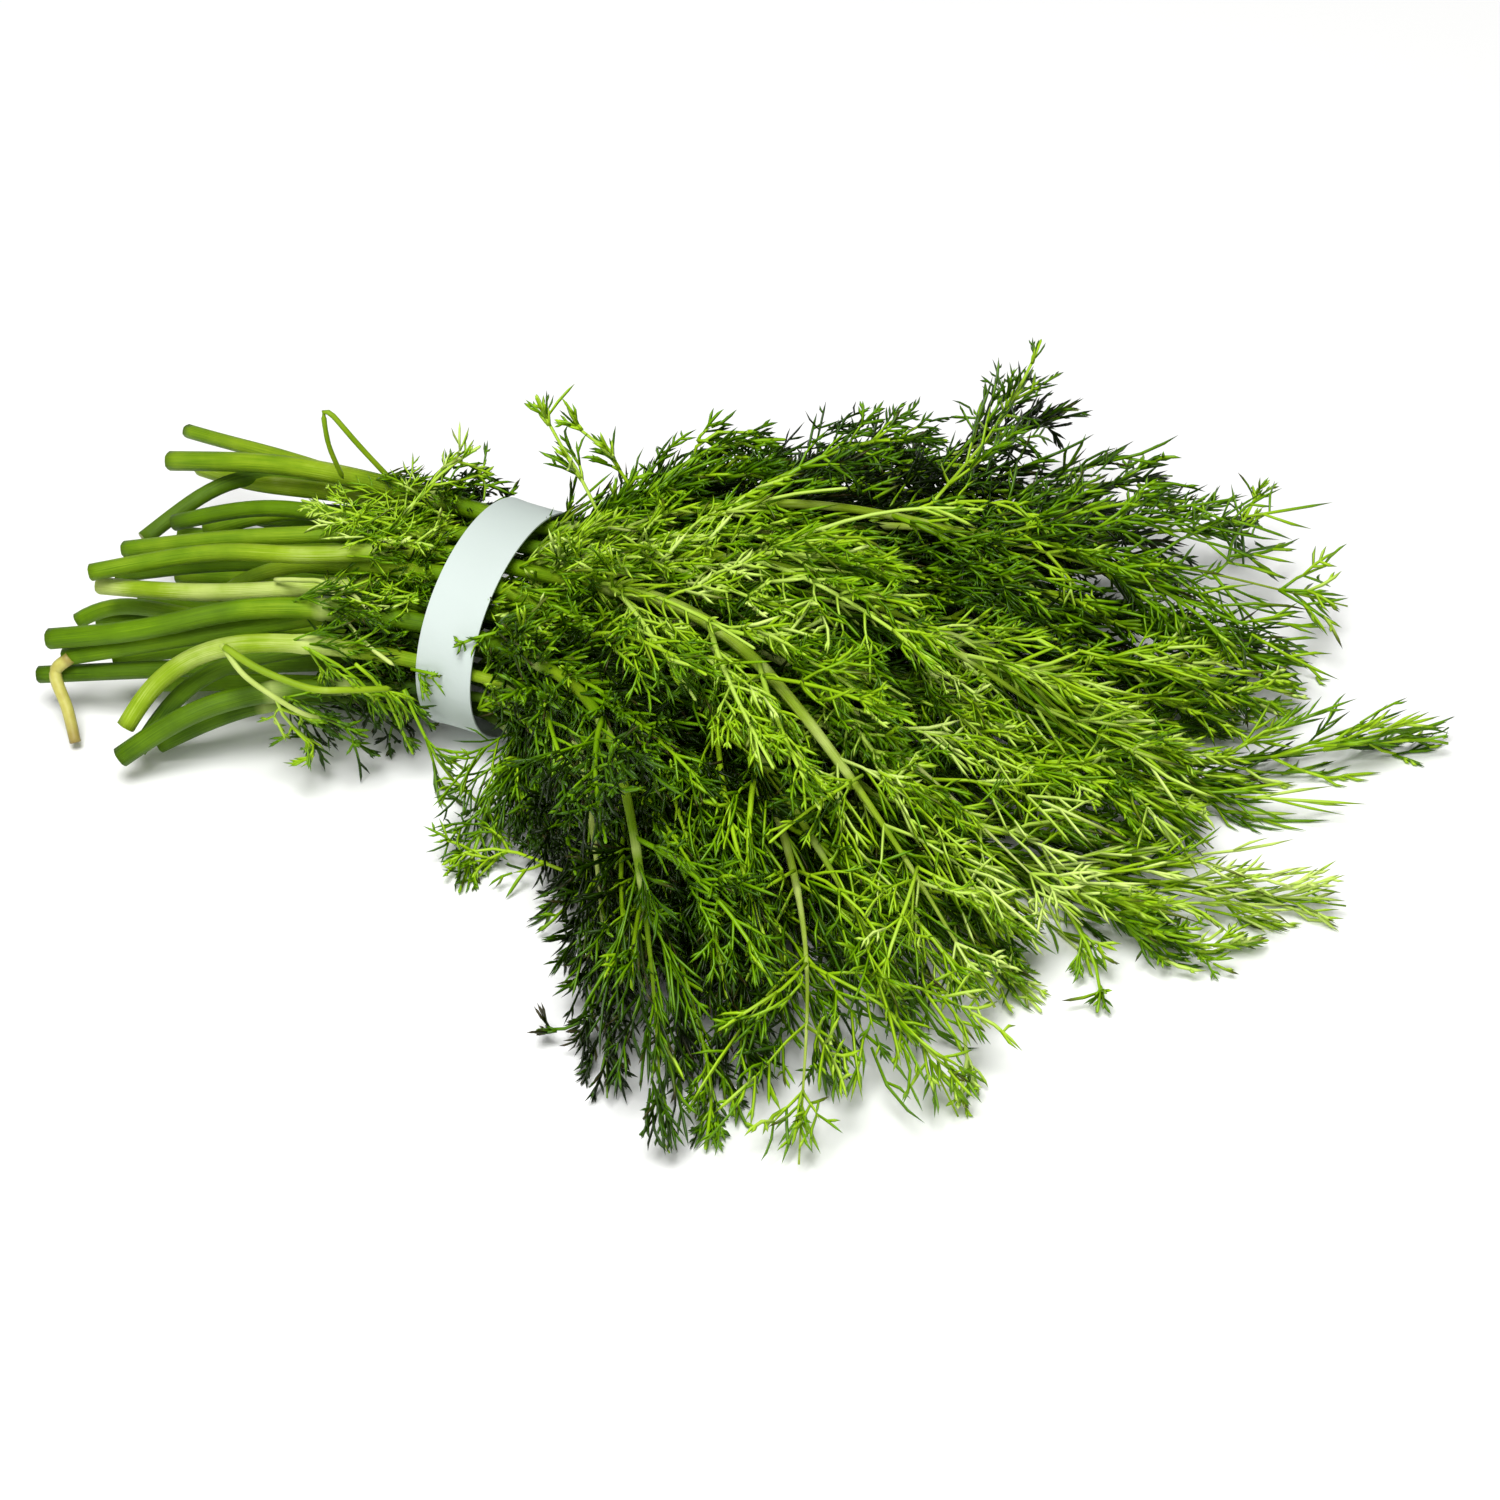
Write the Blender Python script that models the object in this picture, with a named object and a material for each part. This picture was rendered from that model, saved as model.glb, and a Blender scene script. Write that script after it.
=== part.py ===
# A tied bunch of fresh dill lying on its side.
# Thirty leafy stems pass through one plain paper tie. Their cut ends lie on the -X side of it, and their
# fronds fan out over the +X side. The origin is on the flat spot under the tie, which rests on the surface.

import math
import random
from collections import namedtuple

import bmesh
import bpy
import numpy as np

# The layout is worked out in millimetres, and the meshes are built in metres.
MM = 0.001
SEED = 11

# The tie: a strip of thin paper round the bunch, squeezed to an ellipse by the bunch's own weight.
TIE_HALF_ACROSS = 30.0
TIE_HALF_HIGH = 25.0
TIE_WIDTH = 14.0
TIE_WALL = 0.9
TIE_SIDES = 48
TIE_SAG = 0.6
TIE_COLOUR = (0.72, 0.79, 0.76)

# The stems: cut at one end, thick as far as the tie, and thin through the leaves.
STEM_SIDES = 5
STEM_STEP = 4.0
STEM_GAP = 0.9
STEM_THINNING = 0.72
STEM_FLATNESS = 0.35
STEM_RISE = 2.0
THINNING_FROM = 0.25
THINNING_POWER = 1.2
LEAFY_SHARES = (0.42, 0.72)
STEM_SINKING = 0.62
STALK_SHARE = 0.62
STEM_COLOUR = (0.155, 0.27, 0.035)

# The fronds: a slim core with three needles at each node, one to each side and one below or above.
FROND_NODES = 5
FROND_RADIUS = 0.75
FROND_TIP_RADIUS = 0.38
FROND_GAP = 0.5
FROND_TRIES = 40
FROND_SWING = 0.45
FROND_SHORTENS = 0.5
FROND_OFF_TIE = 2.0
FIRST_FROND = 3
CROWD_NEAR = 3.0
FROND_DROOP = (10.0, 50.0)
NEEDLE_WIDTH = 1.2
NEEDLE_RADIUS = 0.5
NEEDLE_LONGEST = 19.0
NEEDLE_SHORTEST = 8.0
NEEDLE_GAP = 0.3
NEEDLE_SPREAD = 0.35
NEEDLE_TRIES = 8
NEEDLE_LEAN = (38.0, 62.0)
NEEDLE_STRAY = 0.28
NEEDLE_VARIES = (0.8, 1.15)
NEEDLE_SHORTENS = 0.08
NEEDLE_CLEAR_FROM = 1.1
NEEDLE_AIMS = ((1.0, 0.3), (-1.0, 0.3), (0.0, -1.0))
FLOOR_GAP = 0.3

# Heights at which the six rows of stems pass through the tie.
ROW_HEIGHTS = (6.0, 13.5, 21.0, 28.5, 36.5, 44.0)
TIE_GATE = 9.0
TIE_SLACK = 0.5

# How the stems are settled: the rounds, how often neighbours are looked up and within what extra distance,
# how often each push is spread along its stem, and how far it is taken.
SETTLE_ROUNDS = 120
SETTLE_LOOKS = 10
SETTLE_NEAR = 6.0
SETTLE_SPREADS = 4
SETTLE_PUSH = 1.5

# Each stem: its cut end and the bends before the tie, its row and its place across the tie, then the
# heading, reach, crest height and tip height of its leafy end, how far that end curls round, and its radius
# at the cut.
Stem = namedtuple("Stem", "run row slot heading reach crest tip curl radius")
STEMS = (
    Stem([(-74, -34, 5)], 0, -10, -42, 118, 6, 5, 0.24, 2.0),
    Stem([(-88, -2, 5)], 0, 0, -5, 178, 6, 4, 0.24, 2.0),
    Stem([(-90, 18, 5)], 0, 10, 30, 125, 6, 4, 0.24, 2.0),
    Stem([(-63, -53, 5), (-41, -39, 15)], 1, -20, -54, 140, 15, 4, 0.24, 2.0),
    Stem([(-82, -39, 13), (-53, -24, 18)], 1, -10, -27, 150, 15, 4, 0.24, 2.1),
    Stem([(-98, -20, 6), (-72, -16, 11)], 1, 0, 3, 204, 13, 4, 8.0, 2.0),
    Stem([(-94, 8, 8)], 1, 10, 21, 221, 14, 4, 1.5, 2.0),
    Stem([(-86, 28, 8)], 1, 20, 50, 165, 15, 5, 0.24, 1.9),
    Stem([(-66, -64, 8), (-47, -49, 21)], 2, -26, -58, 62, 24, 6, 0.24, 2.4),
    Stem([(-97, -48, 10), (-69, -41, 16)], 2, -16, -42, 150, 26, 6, 0.24, 2.0),
    Stem([(-101, -25, 8), (-96, -19, 12), (-55, -22, 20)], 2, -5, -17, 158, 26, 5, 0.24, 1.9),
    Stem([(-84, -6, 14)], 2, 5, 12, 176, 26, 6, 0.24, 2.0),
    Stem([(-92, 9, 13)], 2, 16, 41, 186, 28, 14, 0.24, 2.0),
    Stem([(-84, 20, 14)], 2, 26, 66, 104, 26, 14, 0.24, 1.9),
    Stem([(-67, -59, 13), (-67, -54, 18), (-55, -47, 30), (-36, -44, 38)], 3, -26, -52, 118, 37, 8, 0.2, 2.2),
    Stem([(-65, -57, 5), (-58, -44, 20), (-36, -34, 28)], 3, -16, -36, 158, 37, 6, 0.24, 2.0),
    Stem([(-88, -17, 12), (-57, -18, 20)], 3, -5, -14, 154, 37, 8, 0.24, 1.9),
    Stem([(-94, -16, 18), (-60, -9, 28)], 3, 5, 6, 170, 37, 8, 0.24, 2.0),
    Stem([(-94, -4, 20), (-83, 15, 27), (-65, 21, 30)], 3, 16, 26, 188, 37, 8, 0.24, 1.9),
    Stem([(-83, 6, 19), (-62, 16, 26)], 3, 26, 47, 172, 37, 18, 0.24, 2.0),
    Stem([(-93, -48, 22), (-67, -43, 30), (-45, -34, 38)], 4, -22, -51, 162, 49, 5, 0.24, 2.4),
    Stem([(-90, -47, 17), (-53, -36, 29)], 4, -13, -30, 176, 49, 5, 0.24, 2.1),
    Stem([(-92, -27, 23), (-59, -26, 31)], 4, -4.5, -11, 160, 49, 14, 0.24, 2.0),
    Stem([(-87, -1, 25), (-59, 5, 35)], 4, 4.5, 9, 166, 49, 14, 0.24, 1.9),
    Stem([(-102, 30, 27), (-65, 21, 34)], 4, 13, 32, 200, 49, 9, 0.24, 1.7),
    Stem([(-93, 22, 24), (-62, 17, 32)], 4, 21, 54, 157, 37, 30, 0.24, 2.1),
    Stem([(-71, -17, 14), (-64, -15, 24), (-44, -13, 36)], 5, -12, -42, 172, 37, 5, 0.9, 1.8),
    Stem([(-92, -30, 29), (-62, -19, 38), (-41, -20, 43)], 5, -4, -21, 158, 60, 8, 0.24, 2.0),
    Stem([(-90, -18, 28), (-57, -13, 39)], 5, 4, 4, 172, 60, 8, 0.24, 2.0),
    Stem([(-95, 12, 32), (-59, 13, 41)], 5, 12, 27, 152, 60, 30, 0.24, 2.3),
)

# Side fronds: where each leaves its stem, as a share of the leafy end's length, and on which side.
SIDE_SHARES = (0.2, 0.36, 0.52)
SIDE_SPREAD = 0.06
SIDE_ANGLE = (24.0, 44.0)
SIDE_LIFT = (-10.0, 28.0)
SIDE_LENGTH = (42.0, 72.0)
# Sprigs: small fronds that stand out of the bunch on both sides of the tie. Each has its stem's number,
# counted from nought, and its distance past the tie.
SPRIGS = (
    ((3, -46), (3, -26), (8, -44), (8, -24), (9, -22), (14, -40), (15, -34), (15, -20), (19, -30), (20, -30))
    + ((21, -24), (24, -22), (25, -34), (27, -28), (28, -24), (29, -22), (3, 12), (8, 10), (14, 12))
    + ((19, 14), (24, 12), (25, 14), (27, 16), (28, 18), (29, 14))
)
SPRIG_SPREAD = 4.0
SPRIG_LIFT = (-48.0, -16.0)
SPRIG_LIFT_BY_ROW = 12.0
SPRIG_LENGTH = (20.0, 34.0)
SPRIG_NODES = 3

# The fan of fronds: its edges' headings past its root, and a ceiling that comes down towards the back.
FAN_EDGES = (-54.0, 64.0)
FAN_ROOT = 72.0
FAN_CEILING = 80.0
FAN_FALL = (-0.36, 0.76)

# A wilted side stalk that hangs from one stem's cut end down to the surface.
WILTED_STEM = 21
WILTED_RUN = ((-88, -47.5, 18), (-91, -50, 14), (-86, -54, 8), (-82, -58, 2.3))
WILTED_RADIUS = 1.6


def smooth(points, step):
    """A smooth line through the points, with a point about every step."""
    p = np.array(points, float)
    p = np.vstack([2 * p[0] - p[1], p, 2 * p[-1] - p[-2]])
    line = []
    for a, b, c, d in zip(p, p[1:], p[2:], p[3:]):
        count = max(1, round(np.linalg.norm(c - b) / step))
        t = (np.arange(count) / count)[:, None]
        line.append(
            0.5 * (2 * b + (c - a) * t + (2 * a - 5 * b + 4 * c - d) * t**2 + (3 * b - a - 3 * c + d) * t**3)
        )
    line.append(p[-2][None])
    line = np.vstack(line)
    along = np.r_[0, np.cumsum(np.linalg.norm(np.diff(line, axis=0), axis=1))]
    even = np.linspace(0, along[-1], round(along[-1] / step) + 1)
    return np.stack([np.interp(even, along, line[:, k]) for k in range(3)], 1)


def stem_line(stem):
    """A stem's centre line from its cut end, through the tie, to its tip."""
    height = ROW_HEIGHTS[stem.row]
    gate = np.array((-TIE_GATE, stem.slot, height))
    run = [np.array(p, float) for p in stem.run]
    if len(run) == 1:
        run.append((run[0] + gate) / 2 + (0, 0, STEM_RISE))

    def leafy(share, level):
        heading = math.radians(stem.heading) * (1 - stem.curl * (1 - share))
        out = stem.reach * share
        return np.array((out * math.cos(heading), out * math.sin(heading), level))

    sinking = stem.tip + (stem.crest - stem.tip) * STEM_SINKING
    crested, sunk = LEAFY_SHARES
    ahead = [np.array((TIE_GATE, stem.slot, height)), leafy(crested, stem.crest), leafy(sunk, sinking)]
    return smooth(run + [gate] + ahead + [leafy(1.0, stem.tip)], STEM_STEP)


def thinning(count, radius):
    """A stem's radius at each of its points: full as far as the tie, then thinner."""
    t = np.linspace(0, 1, count)
    thinner = np.clip((t - THINNING_FROM) / (1 - THINNING_FROM), 0, 1) ** THINNING_POWER
    return radius * (1 - STEM_THINNING * thinner)


def settle(lines, radii):
    """Pushes the stems apart where they crowd, so that they bend round each other like packed stems."""
    sizes = [len(line) for line in lines]
    ends = np.cumsum(sizes)
    points = np.vstack(lines)
    radius = np.concatenate(radii)
    owner = np.repeat(np.arange(len(lines)), sizes)
    room = np.array((TIE_HALF_ACROSS, TIE_HALF_HIGH)) - TIE_WALL - TIE_SLACK
    for turn in range(SETTLE_ROUNDS):
        if turn % SETTLE_LOOKS == 0:
            square = ((points[:, None] - points[None]) ** 2).sum(2)
            close = square < (radius[:, None] + radius[None] + STEM_GAP + SETTLE_NEAR) ** 2
            i, j = np.nonzero(np.triu(close & (owner[:, None] != owner[None]), 1))
        between = points[i] - points[j]
        apart = np.linalg.norm(between, axis=1)
        short = radius[i] + radius[j] + STEM_GAP - apart
        hit = short > 0
        half = between[hit] / np.maximum(apart[hit], 1e-6)[:, None] * short[hit, None] / 2
        push = np.zeros_like(points)
        np.add.at(push, i[hit], half)
        np.add.at(push, j[hit], -half)
        pushes = np.zeros(len(points))
        np.add.at(pushes, i[hit], 1)
        np.add.at(pushes, j[hit], 1)
        push /= (0.5 + 0.5 * np.maximum(pushes, 1))[:, None]
        for start, end in zip(ends - sizes, ends):
            for _ in range(SETTLE_SPREADS):
                q = push[start:end]
                push[start:end] = (np.vstack([q[:1], q[:-1]]) + 2 * q + np.vstack([q[1:], q[-1:]])) / 4
        points = points + push * SETTLE_PUSH
        points[:, 2] = np.maximum(points[:, 2], radius + FLOOR_GAP)
        across = points[:, 1] / (room[0] - radius)
        high = (points[:, 2] - TIE_HALF_HIGH) / (room[1] - radius)
        out = np.maximum(np.hypot(across, high), 1)
        out[np.abs(points[:, 0]) > TIE_GATE + 1] = 1
        points[:, 1] /= out
        points[:, 2] = TIE_HALF_HIGH + (points[:, 2] - TIE_HALF_HIGH) / out
    return np.split(points, ends[:-1])


def span_gaps(a, b, c, d):
    """The distance between each span a-b and each span c-d."""
    u = (b - a)[:, None]
    v = (d - c)[None]
    w = a[:, None] - c[None]
    uu, uv, vv = (u * u).sum(2), (u * v).sum(2), (v * v).sum(2)
    uw, vw = (u * w).sum(2), (v * w).sum(2)
    area = np.maximum(uu * vv - uv * uv, 1e-9)
    s = np.clip((uv * vw - vv * uw) / area, 0, 1)
    t = np.clip((uv * s + vw) / np.maximum(vv, 1e-9), 0, 1)
    s = np.clip((uv * t - uw) / np.maximum(uu, 1e-9), 0, 1)
    return np.linalg.norm(w + s[..., None] * u - t[..., None] * v, axis=2)


class Crowd:
    """Everything placed so far, as spans with a radius, each owned by one stem."""

    def __init__(self):
        self.start = np.empty((0, 3))
        self.end = np.empty((0, 3))
        self.radius = np.empty(0)
        self.owner = np.empty(0, int)
        self.group = np.empty(0, int)

    def add(self, line, radius, owner, group):
        self.start = np.vstack([self.start, line[:-1]])
        self.end = np.vstack([self.end, line[1:]])
        self.radius = np.r_[self.radius, np.full(len(line) - 1, radius)]
        self.owner = np.r_[self.owner, np.full(len(line) - 1, owner)]
        self.group = np.r_[self.group, np.full(len(line) - 1, group)]

    def clear(self, line, radius, gap, owner, group, free):
        """Whether the line clears all but its own group, and its own stem's first free spans of it."""
        low = line.min(0) - radius - gap - CROWD_NEAR
        high = line.max(0) + radius + gap + CROWD_NEAR
        near = self.group != group
        near &= (np.maximum(self.start, self.end) > low).all(1)
        near &= (np.minimum(self.start, self.end) < high).all(1)
        if not near.any():
            return True
        room = span_gaps(line[:-1], line[1:], self.start[near], self.end[near])
        room -= radius + gap + self.radius[near][None]
        room[:free, self.owner[near] == owner] = 1
        return room.min() > 0


def frond_line(base, heading, pitch, turn, droop, length, nodes):
    """A frond's core: it leaves its stem at an angle, swings back towards the stem's heading and droops."""
    points = [np.array(base)]
    step = length / nodes
    for k in range(nodes):
        share = k / (nodes - 1)
        h = heading + turn * (1 - FROND_SWING * share)
        p = pitch - droop * share
        ahead = np.array((math.cos(p) * math.cos(h), math.cos(p) * math.sin(h), math.sin(p)))
        points.append(points[-1] + step * ahead)
        points[-1][2] = max(points[-1][2], FROND_RADIUS + FLOOR_GAP)
    return np.array(points)


def in_fan(line):
    """Whether a side frond keeps inside the fan's edges and under its ceiling."""
    heading = np.degrees(np.arctan2(line[:, 1], line[:, 0]))
    beyond = (np.hypot(line[:, 0], line[:, 1]) > FAN_ROOT) & (line[:, 0] > 0)
    astray = beyond & ((heading < FAN_EDGES[0]) | (heading > FAN_EDGES[1]))
    ceiling = line[:, 2] + line[:, :2] @ FAN_FALL
    return not astray.any() and ceiling.max() < FAN_CEILING


def grow_frond(draw, stem, line, last, where, lengths, nodes):
    """A side frond or a sprig, drawn at random about its place on the stem's line."""
    tie = int(np.argmax(line[:, 0] > 0))
    if nodes == FROND_NODES:
        at = tie + round((len(line) - 1 - tie) * (where + draw.uniform(-SIDE_SPREAD, SIDE_SPREAD)))
        lift = draw.uniform(*SIDE_LIFT)
        swing = draw.choice((-1, 1))
    else:
        at = tie + round((where + draw.uniform(-SPRIG_SPREAD, SPRIG_SPREAD)) / STEM_STEP)
        lift = draw.uniform(*SPRIG_LIFT) + SPRIG_LIFT_BY_ROW * stem.row
        swing = math.copysign(1, stem.slot)
    at = min(max(at, FIRST_FROND), last - 1)
    ahead = line[at + 1] - line[at - 1]
    heading = math.atan2(ahead[1], ahead[0])
    pitch = math.atan2(ahead[2], math.hypot(ahead[0], ahead[1])) + math.radians(lift)
    turn = math.radians(draw.uniform(*SIDE_ANGLE)) * swing
    droop = math.radians(draw.uniform(*FROND_DROOP))
    return frond_line(line[at], heading, pitch, turn, droop, draw.uniform(*lengths), nodes)


def place_fronds(lines, radii):
    """Where each stalk ends, and every frond: leafy tips, side fronds, and the sprigs by the tie."""
    draw = random.Random(SEED)
    crowd = Crowd()
    stalks, fronds = [], []
    for k, (line, radius) in enumerate(zip(lines, radii)):
        tie = int(np.argmax(line[:, 0] > 0))
        last = tie + round((len(line) - 1 - tie) * STALK_SHARE)
        stalks.append(last)
        crowd.add(line[: last + 1], radius[tie], k, -k - 1)
    crowd.add(smooth(WILTED_RUN, STEM_STEP), WILTED_RADIUS, WILTED_STEM, -WILTED_STEM - 1)
    for k, line in enumerate(lines):
        even = np.linspace(stalks[k] - 1, len(line) - 1, FROND_NODES + 2)
        tip = np.stack([np.interp(even, np.arange(len(line)), line[:, a]) for a in range(3)], 1)
        crowd.add(tip[1:], FROND_RADIUS, k, k)
        fronds.append((k, k, tip))
    wanted = [(k, share, SIDE_LENGTH, FROND_NODES) for share in SIDE_SHARES for k in range(len(lines))]
    wanted += [(k, past, SPRIG_LENGTH, SPRIG_NODES) for k, past in SPRIGS]
    for k, where, lengths, nodes in wanted:
        for attempt in range(FROND_TRIES):
            shorter = 1 - FROND_SHORTENS * attempt / FROND_TRIES
            reach = [length * shorter for length in lengths]
            frond = grow_frond(draw, STEMS[k], lines[k], stalks[k], where, reach, nodes)
            in_tie = abs(frond[:, 0]).min() < TIE_WIDTH / 2 + FROND_OFF_TIE
            if not in_tie and in_fan(frond) and crowd.clear(frond, FROND_RADIUS, FROND_GAP, k, None, 1):
                crowd.add(frond, FROND_RADIUS, k, len(fronds))
                fronds.append((k, len(fronds), frond))
                break
    return stalks, fronds, crowd


def side_frames(line, group):
    """The forward, side and upper directions along a frond's core. Every other frond is turned over."""
    ahead = np.gradient(line, axis=0)
    ahead /= np.linalg.norm(ahead, axis=1)[:, None]
    side = np.cross(ahead, (0, 0, 1.0))
    side /= np.maximum(np.linalg.norm(side, axis=1), 1e-6)[:, None] * (-1) ** group
    return ahead, side, np.cross(side, ahead)


def grow_needle(draw, root, frame, aim, longest):
    """A needle from its root, leaning forward along its frond and out to its own side."""
    ahead, side, upper = frame
    lean = math.radians(draw.uniform(*NEEDLE_LEAN))
    sideways = aim[0] + draw.uniform(-NEEDLE_STRAY, NEEDLE_STRAY)
    upwards = aim[1] + draw.uniform(-NEEDLE_STRAY, NEEDLE_STRAY)
    out = side * sideways + upper * upwards
    out /= np.linalg.norm(out)
    tip = root + longest * draw.uniform(*NEEDLE_VARIES) * (ahead * math.cos(lean) + out * math.sin(lean))
    tip[2] = max(tip[2], NEEDLE_RADIUS + FLOOR_GAP)
    along = (tip - root) / np.linalg.norm(tip - root)
    spread = along @ out > NEEDLE_SPREAD
    return np.array((root + NEEDLE_CLEAR_FROM * along, tip)), spread


def place_needles(fronds, crowd):
    """The tip of every needle, for each node of each frond: one to each side and one across them, or None."""
    draw = random.Random(SEED + 1)
    tips = []
    for k, group, line in fronds:
        frames = list(zip(*side_frames(line, group)))
        rows = []
        for n in range(1, len(line) - 1):
            fade = (n - 1) / (len(line) - 3)
            longest = NEEDLE_LONGEST + (NEEDLE_SHORTEST - NEEDLE_LONGEST) * fade
            row = [None] * len(NEEDLE_AIMS)
            for which, aim in enumerate(NEEDLE_AIMS):
                for attempt in range(NEEDLE_TRIES):
                    shorter = 1 - NEEDLE_SHORTENS * attempt
                    needle, spread = grow_needle(draw, line[n], frames[n], aim, longest * shorter)
                    low, high = sorted(needle[:, 0])
                    in_tie = low < TIE_WIDTH / 2 + 1 and high > -TIE_WIDTH / 2 - 1
                    if spread and not in_tie and crowd.clear(needle, NEEDLE_RADIUS, NEEDLE_GAP, k, group, 0):
                        crowd.add(needle, NEEDLE_RADIUS, k, group)
                        row[which] = needle[1]
                        break
            rows.append(row)
        tips.append(rows)
    return tips


def simpler(line):
    """The fewest of the line's points that keep it within the stems' flatness."""
    keep = [0, len(line) - 1]
    while True:
        worst, where = STEM_FLATNESS, None
        for a, b in zip(keep, keep[1:]):
            along = line[b] - line[a]
            off = line[a : b + 1] - line[a]
            share = np.clip(off @ along / (along @ along), 0, 1)
            away = np.linalg.norm(off - share[:, None] * along, axis=1)
            if away.max() > worst:
                worst, where = away.max(), a + int(away.argmax())
        if where is None:
            return keep
        keep = sorted(keep + [where])


def new_object(name, mesh_builder, collection):
    """An object whose mesh is the builder's, with its faces pointing out."""
    mesh = bpy.data.meshes.new(name)
    bmesh.ops.recalc_face_normals(mesh_builder, faces=mesh_builder.faces[:])
    mesh_builder.to_mesh(mesh)
    mesh_builder.free()
    piece = bpy.data.objects.new(name, mesh)
    collection.objects.link(piece)
    return piece


def material(name, colour, roughness):
    """A plain surface of one colour."""
    made = bpy.data.materials.new(name)
    made.use_nodes = True
    surface = made.node_tree.nodes["Principled BSDF"]
    surface.inputs["Base Color"].default_value = (*colour, 1)
    surface.inputs["Roughness"].default_value = roughness
    surface.inputs["Metallic"].default_value = 0
    made.diffuse_color = (*colour, 1)
    return made


def stalk_mesh(line, radii):
    """A many-sided rod along the line, closed flat at the cut and blunt at its thin end."""
    bm = bmesh.new()
    ahead = np.gradient(line, axis=0)
    ahead /= np.linalg.norm(ahead, axis=1)[:, None]
    side = np.cross(ahead, (0, 0, 1.0))
    side /= np.linalg.norm(side, axis=1)[:, None]
    upper = np.cross(side, ahead)
    rings = []
    for p, r, s, u in zip(line, radii, side, upper):
        ring = []
        for k in range(STEM_SIDES):
            a = 2 * math.pi * k / STEM_SIDES
            ring.append(bm.verts.new((p + r * (math.cos(a) * s + math.sin(a) * u)) * MM))
        rings.append(ring)
    for near, far in zip(rings, rings[1:]):
        for k in range(STEM_SIDES):
            n = (k + 1) % STEM_SIDES
            bm.faces.new((near[k], near[n], far[n], far[k]))
    bm.faces.new(rings[0][::-1])
    bm.faces.new(rings[-1])
    return bm


def frond_mesh(line, group, tips):
    """A three-sided core along the line, with its faces drawn out to needles at every node."""
    bm = bmesh.new()
    ahead, side, upper = side_frames(line, group)
    last = len(line) - 1

    def ring(n, shift):
        r = FROND_RADIUS + (FROND_TIP_RADIUS - FROND_RADIUS) * n / last
        corners = []
        for degrees in (90, 210, 330):
            a = math.radians(degrees)
            p = line[n] + shift * ahead[n] + r * (math.cos(a) * side[n] + math.sin(a) * upper[n])
            corners.append(bm.verts.new(p * MM))
        return corners

    near = ring(0, 0)
    bm.faces.new(near)
    for n in range(1, last):
        for shift in (-NEEDLE_WIDTH / 2, NEEDLE_WIDTH / 2):
            far = ring(n, shift)
            faces = [bm.faces.new((near[a], near[b], far[b], far[a])) for a, b in ((2, 0), (0, 1), (1, 2))]
            if shift > 0:
                for face, tip in zip(faces, tips[n - 1]):
                    if tip is not None:
                        poked = bmesh.ops.poke(bm, faces=[face])
                        poked["verts"][0].co = tip * MM
            near = far
    point = bm.verts.new(line[last] * MM)
    for a, b in ((2, 0), (0, 1), (1, 2)):
        bm.faces.new((near[a], near[b], point))
    bmesh.ops.triangulate(bm, faces=bm.faces[:])
    return bm


def leafy_stem(name, line, radii, sprays, side_stalks, surface):
    """One stem with its fronds and side stalks, joined into one body."""
    kept = simpler(line)
    stem = new_object(name, stalk_mesh(line[kept], radii[kept]), bpy.context.scene.collection)
    stem.data.materials.append(surface)
    fronds = bpy.data.collections.new(name + "_fronds")
    bpy.context.scene.collection.children.link(fronds)
    for frond, group, tips in sprays:
        new_object("frond", frond_mesh(frond, group, tips), fronds)
    for run, radius in side_stalks:
        side_line = smooth(run, STEM_STEP)
        new_object("side_stalk", stalk_mesh(side_line, np.full(len(side_line), radius)), fronds)
    union = stem.modifiers.new("fronds", "BOOLEAN")
    union.operation = "UNION"
    union.operand_type = "COLLECTION"
    union.collection = fronds
    union.solver = "EXACT"
    bpy.context.view_layer.objects.active = stem
    bpy.ops.object.modifier_apply(modifier=union.name)
    for frond in list(fronds.objects):
        bpy.data.objects.remove(frond)
    bpy.data.collections.remove(fronds)


def tie(surface):
    """The paper strip: an elliptical ring with a small flat spot where it rests."""
    bm = bmesh.new()
    rings = []
    for x in (-TIE_WIDTH / 2, TIE_WIDTH / 2):
        for wall in (0, TIE_WALL):
            ring = []
            for k in range(TIE_SIDES):
                a = 2 * math.pi * (k + 0.5) / TIE_SIDES
                y = (TIE_HALF_ACROSS - wall) * math.cos(a)
                z = TIE_HALF_HIGH + (TIE_HALF_HIGH + TIE_SAG - wall) * math.sin(a)
                ring.append(bm.verts.new(np.array((x, y, max(z, wall))) * MM))
            rings.append(ring)
    outer, inner, far_outer, far_inner = rings
    for a, b in ((outer, far_outer), (far_outer, far_inner), (far_inner, inner), (inner, outer)):
        for k in range(TIE_SIDES):
            n = (k + 1) % TIE_SIDES
            bm.faces.new((a[k], a[n], b[n], b[k]))
    strip = new_object("tie", bm, bpy.context.scene.collection)
    strip.data.materials.append(surface)


def build():
    for old in list(bpy.data.objects):
        bpy.data.objects.remove(old)
    lines = [stem_line(stem) for stem in STEMS]
    radii = [thinning(len(line), stem.radius) for line, stem in zip(lines, STEMS)]
    lines = settle(lines, radii)
    stalks, fronds, crowd = place_fronds(lines, radii)
    tips = place_needles(fronds, crowd)
    green = material("herb_green", STEM_COLOUR, 0.5)
    for k, (line, radius) in enumerate(zip(lines, radii)):
        end = stalks[k] + 1
        sprays = [(frond, group, rows) for (owner, group, frond), rows in zip(fronds, tips) if owner == k]
        side_stalks = [(WILTED_RUN, WILTED_RADIUS)] if k == WILTED_STEM else []
        leafy_stem(f"stem_{k + 1:02d}", line[:end], radius[:end], sprays, side_stalks, green)
    tie(material("tie_paper", TIE_COLOUR, 0.6))


build()
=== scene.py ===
# A tied bunch of fresh dill lying on a pale table top.

import math
import random
from collections import namedtuple

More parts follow.
